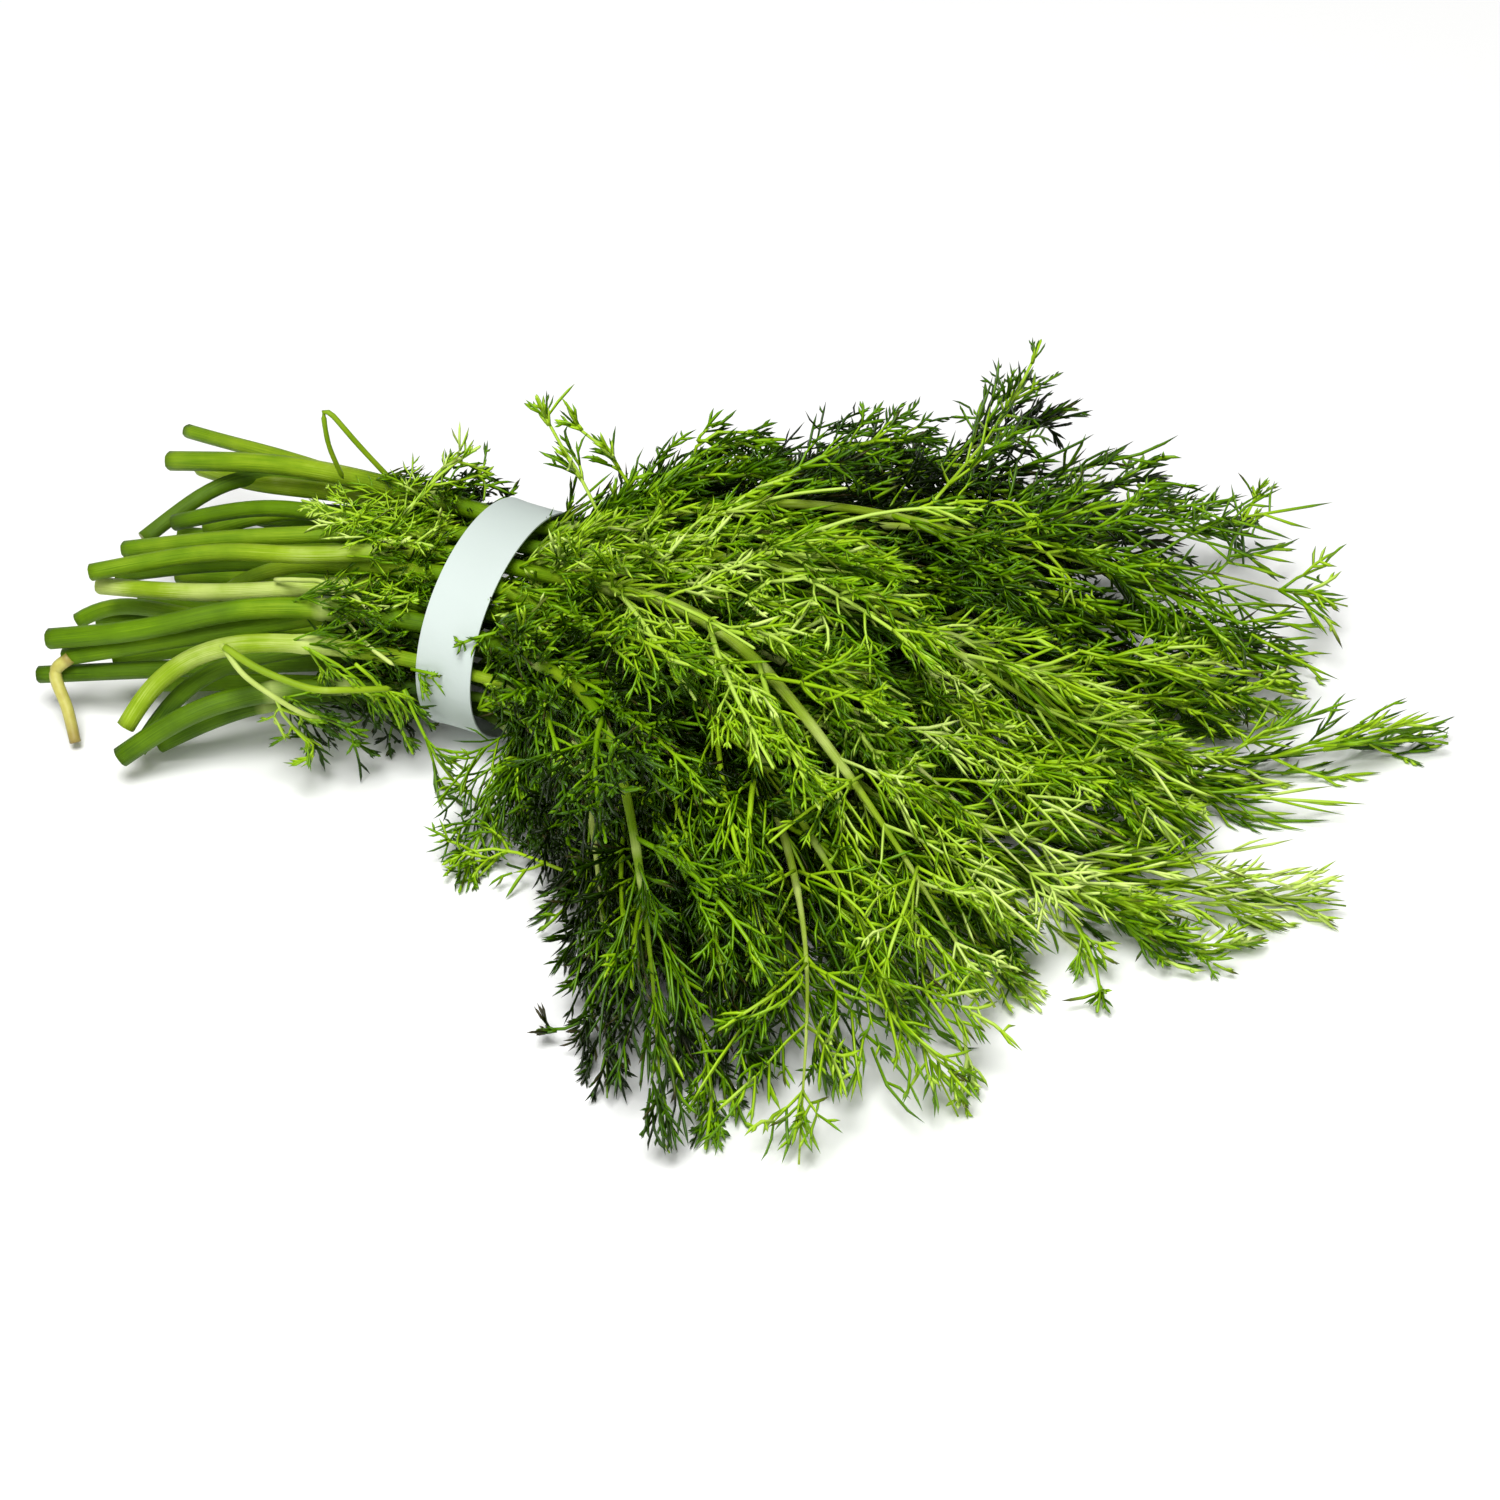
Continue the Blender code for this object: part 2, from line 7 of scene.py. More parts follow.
import bpy
import numpy as np
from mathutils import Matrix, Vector


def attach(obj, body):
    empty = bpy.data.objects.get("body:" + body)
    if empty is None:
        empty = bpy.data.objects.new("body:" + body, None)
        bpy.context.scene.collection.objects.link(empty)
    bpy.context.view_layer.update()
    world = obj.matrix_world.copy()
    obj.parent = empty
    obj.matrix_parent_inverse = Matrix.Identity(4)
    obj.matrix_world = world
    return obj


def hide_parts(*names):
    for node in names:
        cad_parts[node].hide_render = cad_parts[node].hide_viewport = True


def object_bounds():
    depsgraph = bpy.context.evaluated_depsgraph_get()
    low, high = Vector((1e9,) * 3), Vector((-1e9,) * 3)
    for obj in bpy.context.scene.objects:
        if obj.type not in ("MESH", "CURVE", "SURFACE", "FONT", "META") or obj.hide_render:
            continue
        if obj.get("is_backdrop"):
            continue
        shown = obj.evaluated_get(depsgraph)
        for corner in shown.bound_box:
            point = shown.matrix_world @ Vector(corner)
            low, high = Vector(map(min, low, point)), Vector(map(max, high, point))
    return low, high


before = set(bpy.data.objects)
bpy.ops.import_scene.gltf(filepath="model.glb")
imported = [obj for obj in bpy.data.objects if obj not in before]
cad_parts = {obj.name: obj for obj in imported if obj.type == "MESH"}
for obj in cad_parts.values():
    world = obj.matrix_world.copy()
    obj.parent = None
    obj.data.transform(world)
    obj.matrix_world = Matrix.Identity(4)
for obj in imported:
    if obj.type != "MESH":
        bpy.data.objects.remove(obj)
cad_low, cad_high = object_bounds()


# The camera
# It stands to the right of the bunch and above it, and looks down at the middle of the leaves along the
# photograph's line of sight, from far enough off that the stems hardly converge.
CAMERA_PLACE = (0.4254, -0.7774, 0.7271)
CAMERA_AIM = (0.0693, -0.0137, 0.0200)
CAMERA_LENS = 117.33


def facing(spot, aim):
    """The turn that points a camera or a lamp from its spot towards the aim."""
    return (Vector(aim) - Vector(spot)).to_track_quat("-Z", "Y").to_euler()


bpy.ops.object.select_all(action="DESELECT")
bpy.ops.object.camera_add(location=CAMERA_PLACE)
camera = bpy.context.object
camera.name = "camera"
camera.data.lens = CAMERA_LENS
camera.data.clip_start = 0.05
camera.rotation_euler = facing(CAMERA_PLACE, CAMERA_AIM)
bpy.context.scene.camera = camera


# The table top and the studio light
# A white laminate table, far wider than the view, under one broad overhead softbox and a weaker one in
# front. The laminate is matt and nearly white, so the shadows on it are faint.
TABLE_HALF = 4.0
TABLE_COLOUR = "fbfbfa"
KEY_PLACE = (0.15, -0.8, 2.2)
KEY_SIZE = 1.1
KEY_POWER = 60.0
FRONT_PLACE = (0.3, -1.3, 0.9)
FRONT_SIZE = 1.0
FRONT_POWER = 6.0
LAMP_AIM = (0.05, 0.0, 0.0)
ROOM_COLOUR = "ffffff"
ROOM_STRENGTH = 0.17


def colour(hex_digits):
    """An sRGB colour in linear light, with full cover."""
    shown = [int(hex_digits[k : k + 2], 16) / 255 for k in (0, 2, 4)]
    return [c / 12.92 if c <= 0.04045 else ((c + 0.055) / 1.055) ** 2.4 for c in shown] + [1]


def add_node(tree, kind, settings=(), links=(), **values):
    """A node with its settings, its sockets' values and the links into its sockets."""
    node = tree.nodes.new(kind)
    for key, value in dict(settings).items():
        setattr(node, key, value)
    for key, value in values.items():
        node.inputs[key.replace("_", " ")].default_value = value
    for key, source in dict(links).items():
        tree.links.new(source, node.inputs[key])
    return node


def new_material(name):
    """A material with only its output, and its shader ready to be linked to."""
    made = bpy.data.materials.new(name)
    made.use_nodes = True
    made.node_tree.nodes.clear()
    shader = add_node(made.node_tree, "ShaderNodeBsdfPrincipled")
    add_node(made.node_tree, "ShaderNodeOutputMaterial", links={"Surface": shader.outputs[0]})
    return made, made.node_tree, shader


def mixed(tree, share, first, second):
    """A colour between two others, each a socket or hex digits."""
    mix = add_node(tree, "ShaderNodeMix", {"data_type": "RGBA"}, {"Factor": share})
    for slot, source in ((6, first), (7, second)):
        if isinstance(source, str):
            mix.inputs[slot].default_value = colour(source)
        else:
            tree.links.new(source, mix.inputs[slot])
    return mix.outputs[2]


def noise(tree, space, **values):
    """A noise texture's value at each place in the space."""
    return add_node(tree, "ShaderNodeTexNoise", links={"Vector": space}, **values).outputs["Fac"]


def stored(tree, name):
    """The value that a mesh stores under the name at each point."""
    return add_node(tree, "ShaderNodeAttribute", {"attribute_name": name}).outputs["Fac"]


def with_share(tree, value, share, base):
    """A share of one value added to another."""
    total = add_node(tree, "ShaderNodeMath", {"operation": "MULTIPLY_ADD"}, {0: value, 2: base})
    total.inputs[1].default_value = share
    return total.outputs[0]


def ramped(tree, value, stops):
    """The colour that a value picks from a row of stops, each a place and hex digits."""
    ramp = add_node(tree, "ShaderNodeValToRGB", links={"Fac": value})
    elements = ramp.color_ramp.elements
    for element, (spot, shade) in zip(list(elements), (stops[0], stops[-1])):
        element.position = spot
        element.color = colour(shade)
    for spot, shade in stops[1:-1]:
        elements.new(spot).color = colour(shade)
    return ramp.outputs[0]


def set_surface(tree, shader, shade, roughness, specular=None, bumps=None, **bump_values):
    """Links a shader's colour and bumps, and sets how glossy it is."""
    tree.links.new(shade, shader.inputs["Base Color"])
    shader.inputs["Roughness"].default_value = roughness
    if specular is not None:
        shader.inputs["Specular IOR Level"].default_value = specular
    if bumps is not None:
        bump = add_node(tree, "ShaderNodeBump", links={"Height": bumps}, **bump_values)
        tree.links.new(bump.outputs[0], shader.inputs["Normal"])


# Matt white laminate: an even, nearly white sheet with a very faint mottle.
laminate, tree, shader = new_material("white_laminate")
place = add_node(tree, "ShaderNodeTexCoord").outputs["Object"]
set_surface(tree, shader, mixed(tree, noise(tree, place, Scale=6.0), TABLE_COLOUR, "f8f8f7"), 0.9, 0.1)

bpy.ops.object.select_all(action="DESELECT")
bpy.ops.mesh.primitive_plane_add(size=2 * TABLE_HALF)
table_top = bpy.context.object
table_top.name = "table_top"
table_top.data.materials.append(laminate)
table_top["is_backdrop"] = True

for name, spot, size, power in (
    ("softbox_above", KEY_PLACE, KEY_SIZE, KEY_POWER),
    ("softbox_front", FRONT_PLACE, FRONT_SIZE, FRONT_POWER),
):
    bpy.ops.object.light_add(type="AREA", location=spot)
    lamp = bpy.context.object
    lamp.name = name
    lamp.data.size = size
    lamp.data.energy = power
    lamp.rotation_euler = facing(spot, LAMP_AIM)

room = bpy.data.worlds.new("room")
bpy.context.scene.world = room
room.use_nodes = True
room.node_tree.nodes["Background"].inputs["Color"].default_value = colour(ROOM_COLOUR)
room.node_tree.nodes["Background"].inputs["Strength"].default_value = ROOM_STRENGTH
bpy.context.scene.view_settings.view_transform = "Standard"


# The stalks
# Thirty dill stalks, cut with a knife, hollow and finely ribbed, pale where they bear leaves. They are
# packed through the tie and bend round each other. The lines that they follow are worked out in
# millimetres.
MM = 0.001
CAD_LOW = np.array(cad_low) / MM
CAD_HIGH = np.array(cad_high) / MM
SEED = 11
TIE_HALF_ACROSS = 30.0
TIE_HALF_HIGH = 25.0
TIE_WIDTH = 14.0
TIE_WALL = 0.9
TIE_GATE = 9.0
TIE_SLACK = 0.5

# How the stems are settled: the rounds, how often neighbours are looked up and within what extra distance,
# how often each push is spread along its stem, and how far it is taken.
SETTLE_ROUNDS = 120
SETTLE_LOOKS = 10
SETTLE_NEAR = 6.0
SETTLE_SPREADS = 4
SETTLE_PUSH = 1.5
STEM_STEP = 4.0
STEM_GAP = 0.9
STEM_THINNING = 0.72
STEM_RISE = 2.0
THINNING_FROM = 0.25
THINNING_POWER = 1.2
LEAFY_SHARES = (0.42, 0.72)
STEM_SINKING = 0.62
STALK_SHARE = 0.62
FLOOR_GAP = 0.3
ROW_HEIGHTS = (6.0, 13.5, 21.0, 28.5, 36.5, 44.0)
WILTED_STEM = 21
WILTED_RUN = ((-88, -47.5, 18), (-91, -50, 14), (-86, -54, 8), (-82, -58, 2.3))
WILTED_RADIUS = 1.6

# Each stem, a line each: its row and its place across the tie, the heading, reach, crest height and tip height
# of its leafy end, how far that end curls round, its radius at the cut, and then its run, which is its cut end
# and its bends before the tie, point by point.
Stem = namedtuple("Stem", "run row slot heading reach crest tip curl radius")
STEM_TABLE = """
0 -10 -42 118 6 5 0.24 2.0: -74 -34 5
0 0 -5 178 6 4 0.24 2.0: -88 -2 5
0 10 30 125 6 4 0.24 2.0: -90 18 5
1 -20 -54 140 15 4 0.24 2.0: -63 -53 5, -41 -39 15
1 -10 -27 150 15 4 0.24 2.1: -82 -39 13, -53 -24 18
1 0 3 204 13 4 8.0 2.0: -98 -20 6, -72 -16 11
1 10 21 221 14 4 1.5 2.0: -94 8 8
1 20 50 165 15 5 0.24 1.9: -86 28 8
2 -26 -58 62 24 6 0.24 2.4: -66 -64 8, -47 -49 21
2 -16 -42 150 26 6 0.24 2.0: -97 -48 10, -69 -41 16
2 -5 -17 158 26 5 0.24 1.9: -101 -25 8, -96 -19 12, -55 -22 20
2 5 12 176 26 6 0.24 2.0: -84 -6 14
2 16 41 186 28 14 0.24 2.0: -92 9 13
2 26 66 104 26 14 0.24 1.9: -84 20 14
3 -26 -52 118 37 8 0.2 2.2: -67 -59 13, -67 -54 18, -55 -47 30, -36 -44 38
3 -16 -36 158 37 6 0.24 2.0: -65 -57 5, -58 -44 20, -36 -34 28
3 -5 -14 154 37 8 0.24 1.9: -88 -17 12, -57 -18 20
3 5 6 170 37 8 0.24 2.0: -94 -16 18, -60 -9 28
3 16 26 188 37 8 0.24 1.9: -94 -4 20, -83 15 27, -65 21 30
3 26 47 172 37 18 0.24 2.0: -83 6 19, -62 16 26
4 -22 -51 162 49 5 0.24 2.4: -93 -48 22, -67 -43 30, -45 -34 38
4 -13 -30 176 49 5 0.24 2.1: -90 -47 17, -53 -36 29
4 -4.5 -11 160 49 14 0.24 2.0: -92 -27 23, -59 -26 31
4 4.5 9 166 49 14 0.24 1.9: -87 -1 25, -59 5 35
4 13 32 200 49 9 0.24 1.7: -102 30 27, -65 21 34
4 21 54 157 37 30 0.24 2.1: -93 22 24, -62 17 32
5 -12 -42 172 37 5 0.9 1.8: -71 -17 14, -64 -15 24, -44 -13 36
5 -4 -21 158 60 8 0.24 2.0: -92 -30 29, -62 -19 38, -41 -20 43
5 4 4 172 60 8 0.24 2.0: -90 -18 28, -57 -13 39
5 12 27 152 60 30 0.24 2.3: -95 12 32, -59 13 41
"""


def read_rows(text):
    """The facts and the run of points that each line of the text gives, with a colon between them."""
    rows = [row.split(":") for row in text.strip().splitlines()]
    runs = [np.array([point.split() for point in run.split(",")], float) for _, run in rows]
    return [(facts.split(), run) for (facts, _), run in zip(rows, runs)]


STEMS = [Stem(run, int(row), *(float(fact) for fact in facts)) for (row, *facts), run in read_rows(STEM_TABLE)]


def lengths_along(line):
    """How far along the line each of its points is."""
    return np.r_[0, np.cumsum(np.linalg.norm(np.diff(line, axis=0), axis=1))]


def bearing(line, at):
    """The heading and the pitch of a line at one of its inner points."""
    ahead = line[at + 1] - line[at - 1]
    return math.atan2(ahead[1], ahead[0]), math.atan2(ahead[2], math.hypot(ahead[0], ahead[1]))


def smooth(points, step):
    """A smooth line through the points, with a point about every step."""
    p = np.array(points, float)
    p = np.vstack([2 * p[0] - p[1], p, 2 * p[-1] - p[-2]])
    line = []
    for a, b, c, d in zip(p, p[1:], p[2:], p[3:]):
        count = max(1, round(np.linalg.norm(c - b) / step))
        t = (np.arange(count) / count)[:, None]
        line.append(
            0.5 * (2 * b + (c - a) * t + (2 * a - 5 * b + 4 * c - d) * t**2 + (3 * b - a - 3 * c + d) * t**3)
        )
    line.append(p[-2][None])
    line = np.vstack(line)
    along = lengths_along(line)
    even = np.linspace(0, along[-1], round(along[-1] / step) + 1)
    return np.stack([np.interp(even, along, line[:, k]) for k in range(3)], 1)


def stem_line(stem):
    """A stem's centre line from its cut end, through the tie, to its tip."""
    height = ROW_HEIGHTS[stem.row]
    gate = np.array((-TIE_GATE, stem.slot, height))
    run = [np.array(p, float) for p in stem.run]
    if len(run) == 1:
        run.append((run[0] + gate) / 2 + (0, 0, STEM_RISE))

    def leafy(share, level):
        heading = math.radians(stem.heading) * (1 - stem.curl * (1 - share))
        out = stem.reach * share
        return np.array((out * math.cos(heading), out * math.sin(heading), level))

    sinking = stem.tip + (stem.crest - stem.tip) * STEM_SINKING
    crested, sunk = LEAFY_SHARES
    ahead = [np.array((TIE_GATE, stem.slot, height)), leafy(crested, stem.crest), leafy(sunk, sinking)]
    return smooth(run + [gate] + ahead + [leafy(1.0, stem.tip)], STEM_STEP)


def thinning(count, radius):
    """A stem's radius at each of its points: full as far as the tie, then thinner."""
    t = np.linspace(0, 1, count)
    thinner = np.clip((t - THINNING_FROM) / (1 - THINNING_FROM), 0, 1) ** THINNING_POWER
    return radius * (1 - STEM_THINNING * thinner)


def settle(lines, radii):
    """Pushes the stems apart where they crowd, so that they bend round each other like packed stems."""
    sizes = [len(line) for line in lines]
    ends = np.cumsum(sizes)
    points = np.vstack(lines)
    radius = np.concatenate(radii)
    owner = np.repeat(np.arange(len(lines)), sizes)
    room = np.array((TIE_HALF_ACROSS, TIE_HALF_HIGH)) - TIE_WALL - TIE_SLACK
    for turn in range(SETTLE_ROUNDS):
        if turn % SETTLE_LOOKS == 0:
            square = ((points[:, None] - points[None]) ** 2).sum(2)
            close = square < (radius[:, None] + radius[None] + STEM_GAP + SETTLE_NEAR) ** 2
            i, j = np.nonzero(np.triu(close & (owner[:, None] != owner[None]), 1))
        between = points[i] - points[j]
        apart = np.linalg.norm(between, axis=1)
        short = radius[i] + radius[j] + STEM_GAP - apart
        hit = short > 0
        half = between[hit] / np.maximum(apart[hit], 1e-6)[:, None] * short[hit, None] / 2
        push = np.zeros_like(points)
        np.add.at(push, i[hit], half)
        np.add.at(push, j[hit], -half)
        pushes = np.zeros(len(points))
        np.add.at(pushes, i[hit], 1)
        np.add.at(pushes, j[hit], 1)
        push /= (0.5 + 0.5 * np.maximum(pushes, 1))[:, None]
        for start, end in zip(ends - sizes, ends):
            for _ in range(SETTLE_SPREADS):
                q = push[start:end]
                push[start:end] = (np.vstack([q[:1], q[:-1]]) + 2 * q + np.vstack([q[1:], q[-1:]])) / 4
        points = points + push * SETTLE_PUSH
        points[:, 2] = np.maximum(points[:, 2], radius + FLOOR_GAP)
        across = points[:, 1] / (room[0] - radius)
        high = (points[:, 2] - TIE_HALF_HIGH) / (room[1] - radius)
        out = np.maximum(np.hypot(across, high), 1)
        out[np.abs(points[:, 0]) > TIE_GATE + 1] = 1
        points[:, 1] /= out
        points[:, 2] = TIE_HALF_HIGH + (points[:, 2] - TIE_HALF_HIGH) / out
    return np.split(points, ends[:-1])


lines = [stem_line(stem) for stem in STEMS]
radii = [thinning(len(line), stem.radius) for line, stem in zip(lines, STEMS)]
lines = settle(lines, radii)


# The fronds' cores
# Every stem ends in a leafy frond and bears more on its sides, and sprigs stand out by the tie. Where each
# one leaves its stem, how far it swings and how it clears the others is drawn at random from one seed.
FROND_NODES = 5
FROND_RADIUS = 0.75
FROND_GAP = 0.5
FROND_TRIES = 40
FROND_SWING = 0.45
FROND_SHORTENS = 0.5
FROND_OFF_TIE = 2.0
FIRST_FROND = 3
CROWD_NEAR = 3.0
FROND_DROOP = (10.0, 50.0)
SIDE_SHARES = (0.2, 0.36, 0.52)
SIDE_SPREAD = 0.06
SIDE_ANGLE = (24.0, 44.0)
SIDE_LIFT = (-10.0, 28.0)
SIDE_LENGTH = (42.0, 72.0)
SPRIGS = (
    ((3, -46), (3, -26), (8, -44), (8, -24), (9, -22), (14, -40), (15, -34), (15, -20), (19, -30), (20, -30))
    + ((21, -24), (24, -22), (25, -34), (27, -28), (28, -24), (29, -22), (3, 12), (8, 10), (14, 12))
    + ((19, 14), (24, 12), (25, 14), (27, 16), (28, 18), (29, 14))
)
SPRIG_SPREAD = 4.0
SPRIG_LIFT = (-48.0, -16.0)
SPRIG_LIFT_BY_ROW = 12.0
SPRIG_LENGTH = (20.0, 34.0)
SPRIG_NODES = 3
FAN_EDGES = (-54.0, 64.0)
FAN_ROOT = 72.0
FAN_CEILING = 80.0
FAN_FALL = (-0.36, 0.76)


def span_gaps(a, b, c, d):
    """The distance between each span a-b and each span c-d."""
    u = (b - a)[:, None]
    v = (d - c)[None]
    w = a[:, None] - c[None]
    uu, uv, vv = (u * u).sum(2), (u * v).sum(2), (v * v).sum(2)
    uw, vw = (u * w).sum(2), (v * w).sum(2)
    area = np.maximum(uu * vv - uv * uv, 1e-9)
    s = np.clip((uv * vw - vv * uw) / area, 0, 1)
    t = np.clip((uv * s + vw) / np.maximum(vv, 1e-9), 0, 1)
    s = np.clip((uv * t - uw) / np.maximum(uu, 1e-9), 0, 1)
    return np.linalg.norm(w + s[..., None] * u - t[..., None] * v, axis=2)


class Crowd:
    """Everything placed so far, as spans with a radius, each owned by one stem."""

    def __init__(self):
        self.start = np.empty((0, 3))
        self.end = np.empty((0, 3))
        self.radius = np.empty(0)
        self.owner = np.empty(0, int)
        self.group = np.empty(0, int)

    def add(self, line, radius, owner, group):
        self.start = np.vstack([self.start, line[:-1]])
        self.end = np.vstack([self.end, line[1:]])
        self.radius = np.r_[self.radius, np.full(len(line) - 1, radius)]
        self.owner = np.r_[self.owner, np.full(len(line) - 1, owner)]
        self.group = np.r_[self.group, np.full(len(line) - 1, group)]

    def clear(self, line, radius, gap, owner, group, free):
        """Whether the line clears all but its own group, and its own stem's first free spans of it."""
        low = line.min(0) - radius - gap - CROWD_NEAR
        high = line.max(0) + radius + gap + CROWD_NEAR
        near = self.group != group
        near &= (np.maximum(self.start, self.end) > low).all(1)
        near &= (np.minimum(self.start, self.end) < high).all(1)
        if not near.any():
            return True
        room = span_gaps(line[:-1], line[1:], self.start[near], self.end[near])
        room -= radius + gap + self.radius[near][None]
        room[:free, self.owner[near] == owner] = 1
        return room.min() > 0


def frond_line(base, heading, pitch, turn, droop, length, nodes):
    """A frond's core: it leaves its stem at an angle, swings back towards the stem's heading and droops."""
    points = [np.array(base)]
    step = length / nodes
    for k in range(nodes):
        share = k / (nodes - 1)
        h = heading + turn * (1 - FROND_SWING * share)
        p = pitch - droop * share
        ahead = np.array((math.cos(p) * math.cos(h), math.cos(p) * math.sin(h), math.sin(p)))
        points.append(points[-1] + step * ahead)
        points[-1][2] = max(points[-1][2], FROND_RADIUS + FLOOR_GAP)
    return np.array(points)


def in_fan(line):
    """Whether a side frond keeps inside the fan's edges and under its ceiling."""
    heading = np.degrees(np.arctan2(line[:, 1], line[:, 0]))
    beyond = (np.hypot(line[:, 0], line[:, 1]) > FAN_ROOT) & (line[:, 0] > 0)
    astray = beyond & ((heading < FAN_EDGES[0]) | (heading > FAN_EDGES[1]))
    ceiling = line[:, 2] + line[:, :2] @ FAN_FALL
    return not astray.any() and ceiling.max() < FAN_CEILING


def grow_frond(draw, stem, line, last, where, lengths, nodes):
    """A side frond or a sprig, drawn at random about its place on the stem's line."""
    tie = int(np.argmax(line[:, 0] > 0))
    if nodes == FROND_NODES:
        at = tie + round((len(line) - 1 - tie) * (where + draw.uniform(-SIDE_SPREAD, SIDE_SPREAD)))
        lift = draw.uniform(*SIDE_LIFT)
        swing = draw.choice((-1, 1))
    else:
        at = tie + round((where + draw.uniform(-SPRIG_SPREAD, SPRIG_SPREAD)) / STEM_STEP)
        lift = draw.uniform(*SPRIG_LIFT) + SPRIG_LIFT_BY_ROW * stem.row
        swing = math.copysign(1, stem.slot)
    at = min(max(at, FIRST_FROND), last - 1)
    heading, pitch = bearing(line, at)
    pitch += math.radians(lift)
    turn = math.radians(draw.uniform(*SIDE_ANGLE)) * swing
    droop = math.radians(draw.uniform(*FROND_DROOP))
    return frond_line(line[at], heading, pitch, turn, droop, draw.uniform(*lengths), nodes)


def place_fronds(lines, radii):
    """Where each stalk ends, and every frond: leafy tips, side fronds, and the sprigs by the tie."""
    draw = random.Random(SEED)
    crowd = Crowd()
    stalks, fronds = [], []
    for k, (line, radius) in enumerate(zip(lines, radii)):
        tie = int(np.argmax(line[:, 0] > 0))
        last = tie + round((len(line) - 1 - tie) * STALK_SHARE)
        stalks.append(last)
        crowd.add(line[: last + 1], radius[tie], k, -k - 1)
    crowd.add(smooth(WILTED_RUN, STEM_STEP), WILTED_RADIUS, WILTED_STEM, -WILTED_STEM - 1)
    for k, line in enumerate(lines):
        even = np.linspace(stalks[k] - 1, len(line) - 1, FROND_NODES + 2)
        tip = np.stack([np.interp(even, np.arange(len(line)), line[:, a]) for a in range(3)], 1)
        crowd.add(tip[1:], FROND_RADIUS, k, k)
        fronds.append((k, k, tip))
    wanted = [(k, share, SIDE_LENGTH, FROND_NODES) for share in SIDE_SHARES for k in range(len(lines))]
    wanted += [(k, past, SPRIG_LENGTH, SPRIG_NODES) for k, past in SPRIGS]
    for k, where, lengths, nodes in wanted:
        for attempt in range(FROND_TRIES):
            shorter = 1 - FROND_SHORTENS * attempt / FROND_TRIES
            reach = [length * shorter for length in lengths]
            frond = grow_frond(draw, STEMS[k], lines[k], stalks[k], where, reach, nodes)
            in_tie = abs(frond[:, 0]).min() < TIE_WIDTH / 2 + FROND_OFF_TIE
            if not in_tie and in_fan(frond) and crowd.clear(frond, FROND_RADIUS, FROND_GAP, k, None, 1):
                crowd.add(frond, FROND_RADIUS, k, len(fronds))
                fronds.append((k, len(fronds), frond))
                break
    return stalks, fronds


stalks, fronds = place_fronds(lines, radii)

# The stalks' meshes
# Each stalk is a finely ribbed rod that swells at its joints and thins towards its tip, with a hollow cut
# end. Its rings are worked out in code, because they follow a line that bends all the way.
STALK_SIDES = 12
STALK_RIB = 0.03
STALK_RING_STEP = 2.4
STALK_TIP_RADIUS = 0.28
STALK_TIP_POWER = 0.6
JOINT_SWELL = 0.12
JOINT_LENGTH = 1.6
JOINT_PALENESS = 0.6
EASINGS = 12
RIBS_TURN = 1.2

# The cut end: how far its lip goes in and down, and how deep the hollow is, as shares of the ring and of
# its step.
LIP_INWARD = 0.3
LIP_DEPTH = 0.1
HOLLOW_DEPTH = 0.45

# How stout some stalks are past the tie, where the photograph shows them thinner or thicker than the
# solids, and from which share of their length and over which share this comes in.
LEAFY_STOUTNESS = 0.72
BARE_STOUTNESS = {26: 0.85, 27: 1.05, 29: 0.7}
STOUT_FROM = 0.3
STOUT_OVER = 0.2

# How pale the stalks are: paler from the cut end on, darker in the tie's shade, and paler on some stems.
TONE_ALONG = ((10, 100), (-0.04, 0.1))
TONE_VARIES = (-0.08, 0.12)
TONE_STRAYS = 0.06
CUT_TONE = 0.5
NEAR_TIE = (2.0, 22.0)
NEAR_TIE_DARKER = 0.25
STALK_TONES = {14: 0.3, 19: 0.08, 20: 0.12, 21: 0.16, 22: 0.4, 24: 0.24}
STALK_TONES |= {25: 0.22, 26: 0.26, 27: 0.3, 28: 0.2, 29: 0.26}


def frames_along(line, roll=0.0):
    """The forward, side and upper directions along a line."""
    ahead = np.gradient(line, axis=0)
    ahead /= np.linalg.norm(ahead, axis=1)[:, None]
    side = np.cross(ahead, (0, 0, 1.0))
    side /= np.maximum(np.linalg.norm(side, axis=1), 1e-6)[:, None]
    upper = np.cross(side, ahead)
    rolled = math.cos(roll) * side + math.sin(roll) * upper
    return ahead, rolled, math.cos(roll) * upper - math.sin(roll) * side


def stray(draw, count, size):
    """A smooth random wander about nought, with a value for each point."""
    knots = [draw.uniform(-size, size) for _ in range(max(3, count // 6))]
    return np.interp(np.linspace(0, len(knots) - 1, count), np.arange(len(knots)), knots)


def stalk_arrays(line, radius, joints, ribs_turn):
    """A ribbed rod along the line: its rings, how near each is to a joint, and how far along it is."""
    along = lengths_along(line)
    count = max(4, round(along[-1] / STALK_RING_STEP))
    even = np.linspace(0, along[-1], count)
    fine = smooth_resample(line, along, even)
    r = np.interp(even, along, radius)
    near = np.zeros(count)
    for joint in joints:
        near = np.maximum(near, np.exp(-(((even - joint) / JOINT_LENGTH) ** 2)))
    r = r * (1 + JOINT_SWELL * near)
    _, side, upper = frames_along(fine)
    a = 2 * math.pi * np.arange(STALK_SIDES) / STALK_SIDES
    ribbed = 1 + STALK_RIB * np.cos(a * STALK_SIDES / 2)
    twist = ribs_turn * even / along[-1]
    cosines = np.cos(a[None] + twist[:, None])
    sines = np.sin(a[None] + twist[:, None])
    rings = fine[:, None] + (r[:, None] * ribbed[None])[..., None] * (
        cosines[..., None] * side[:, None] + sines[..., None] * upper[:, None]
    )
    return rings, near, even


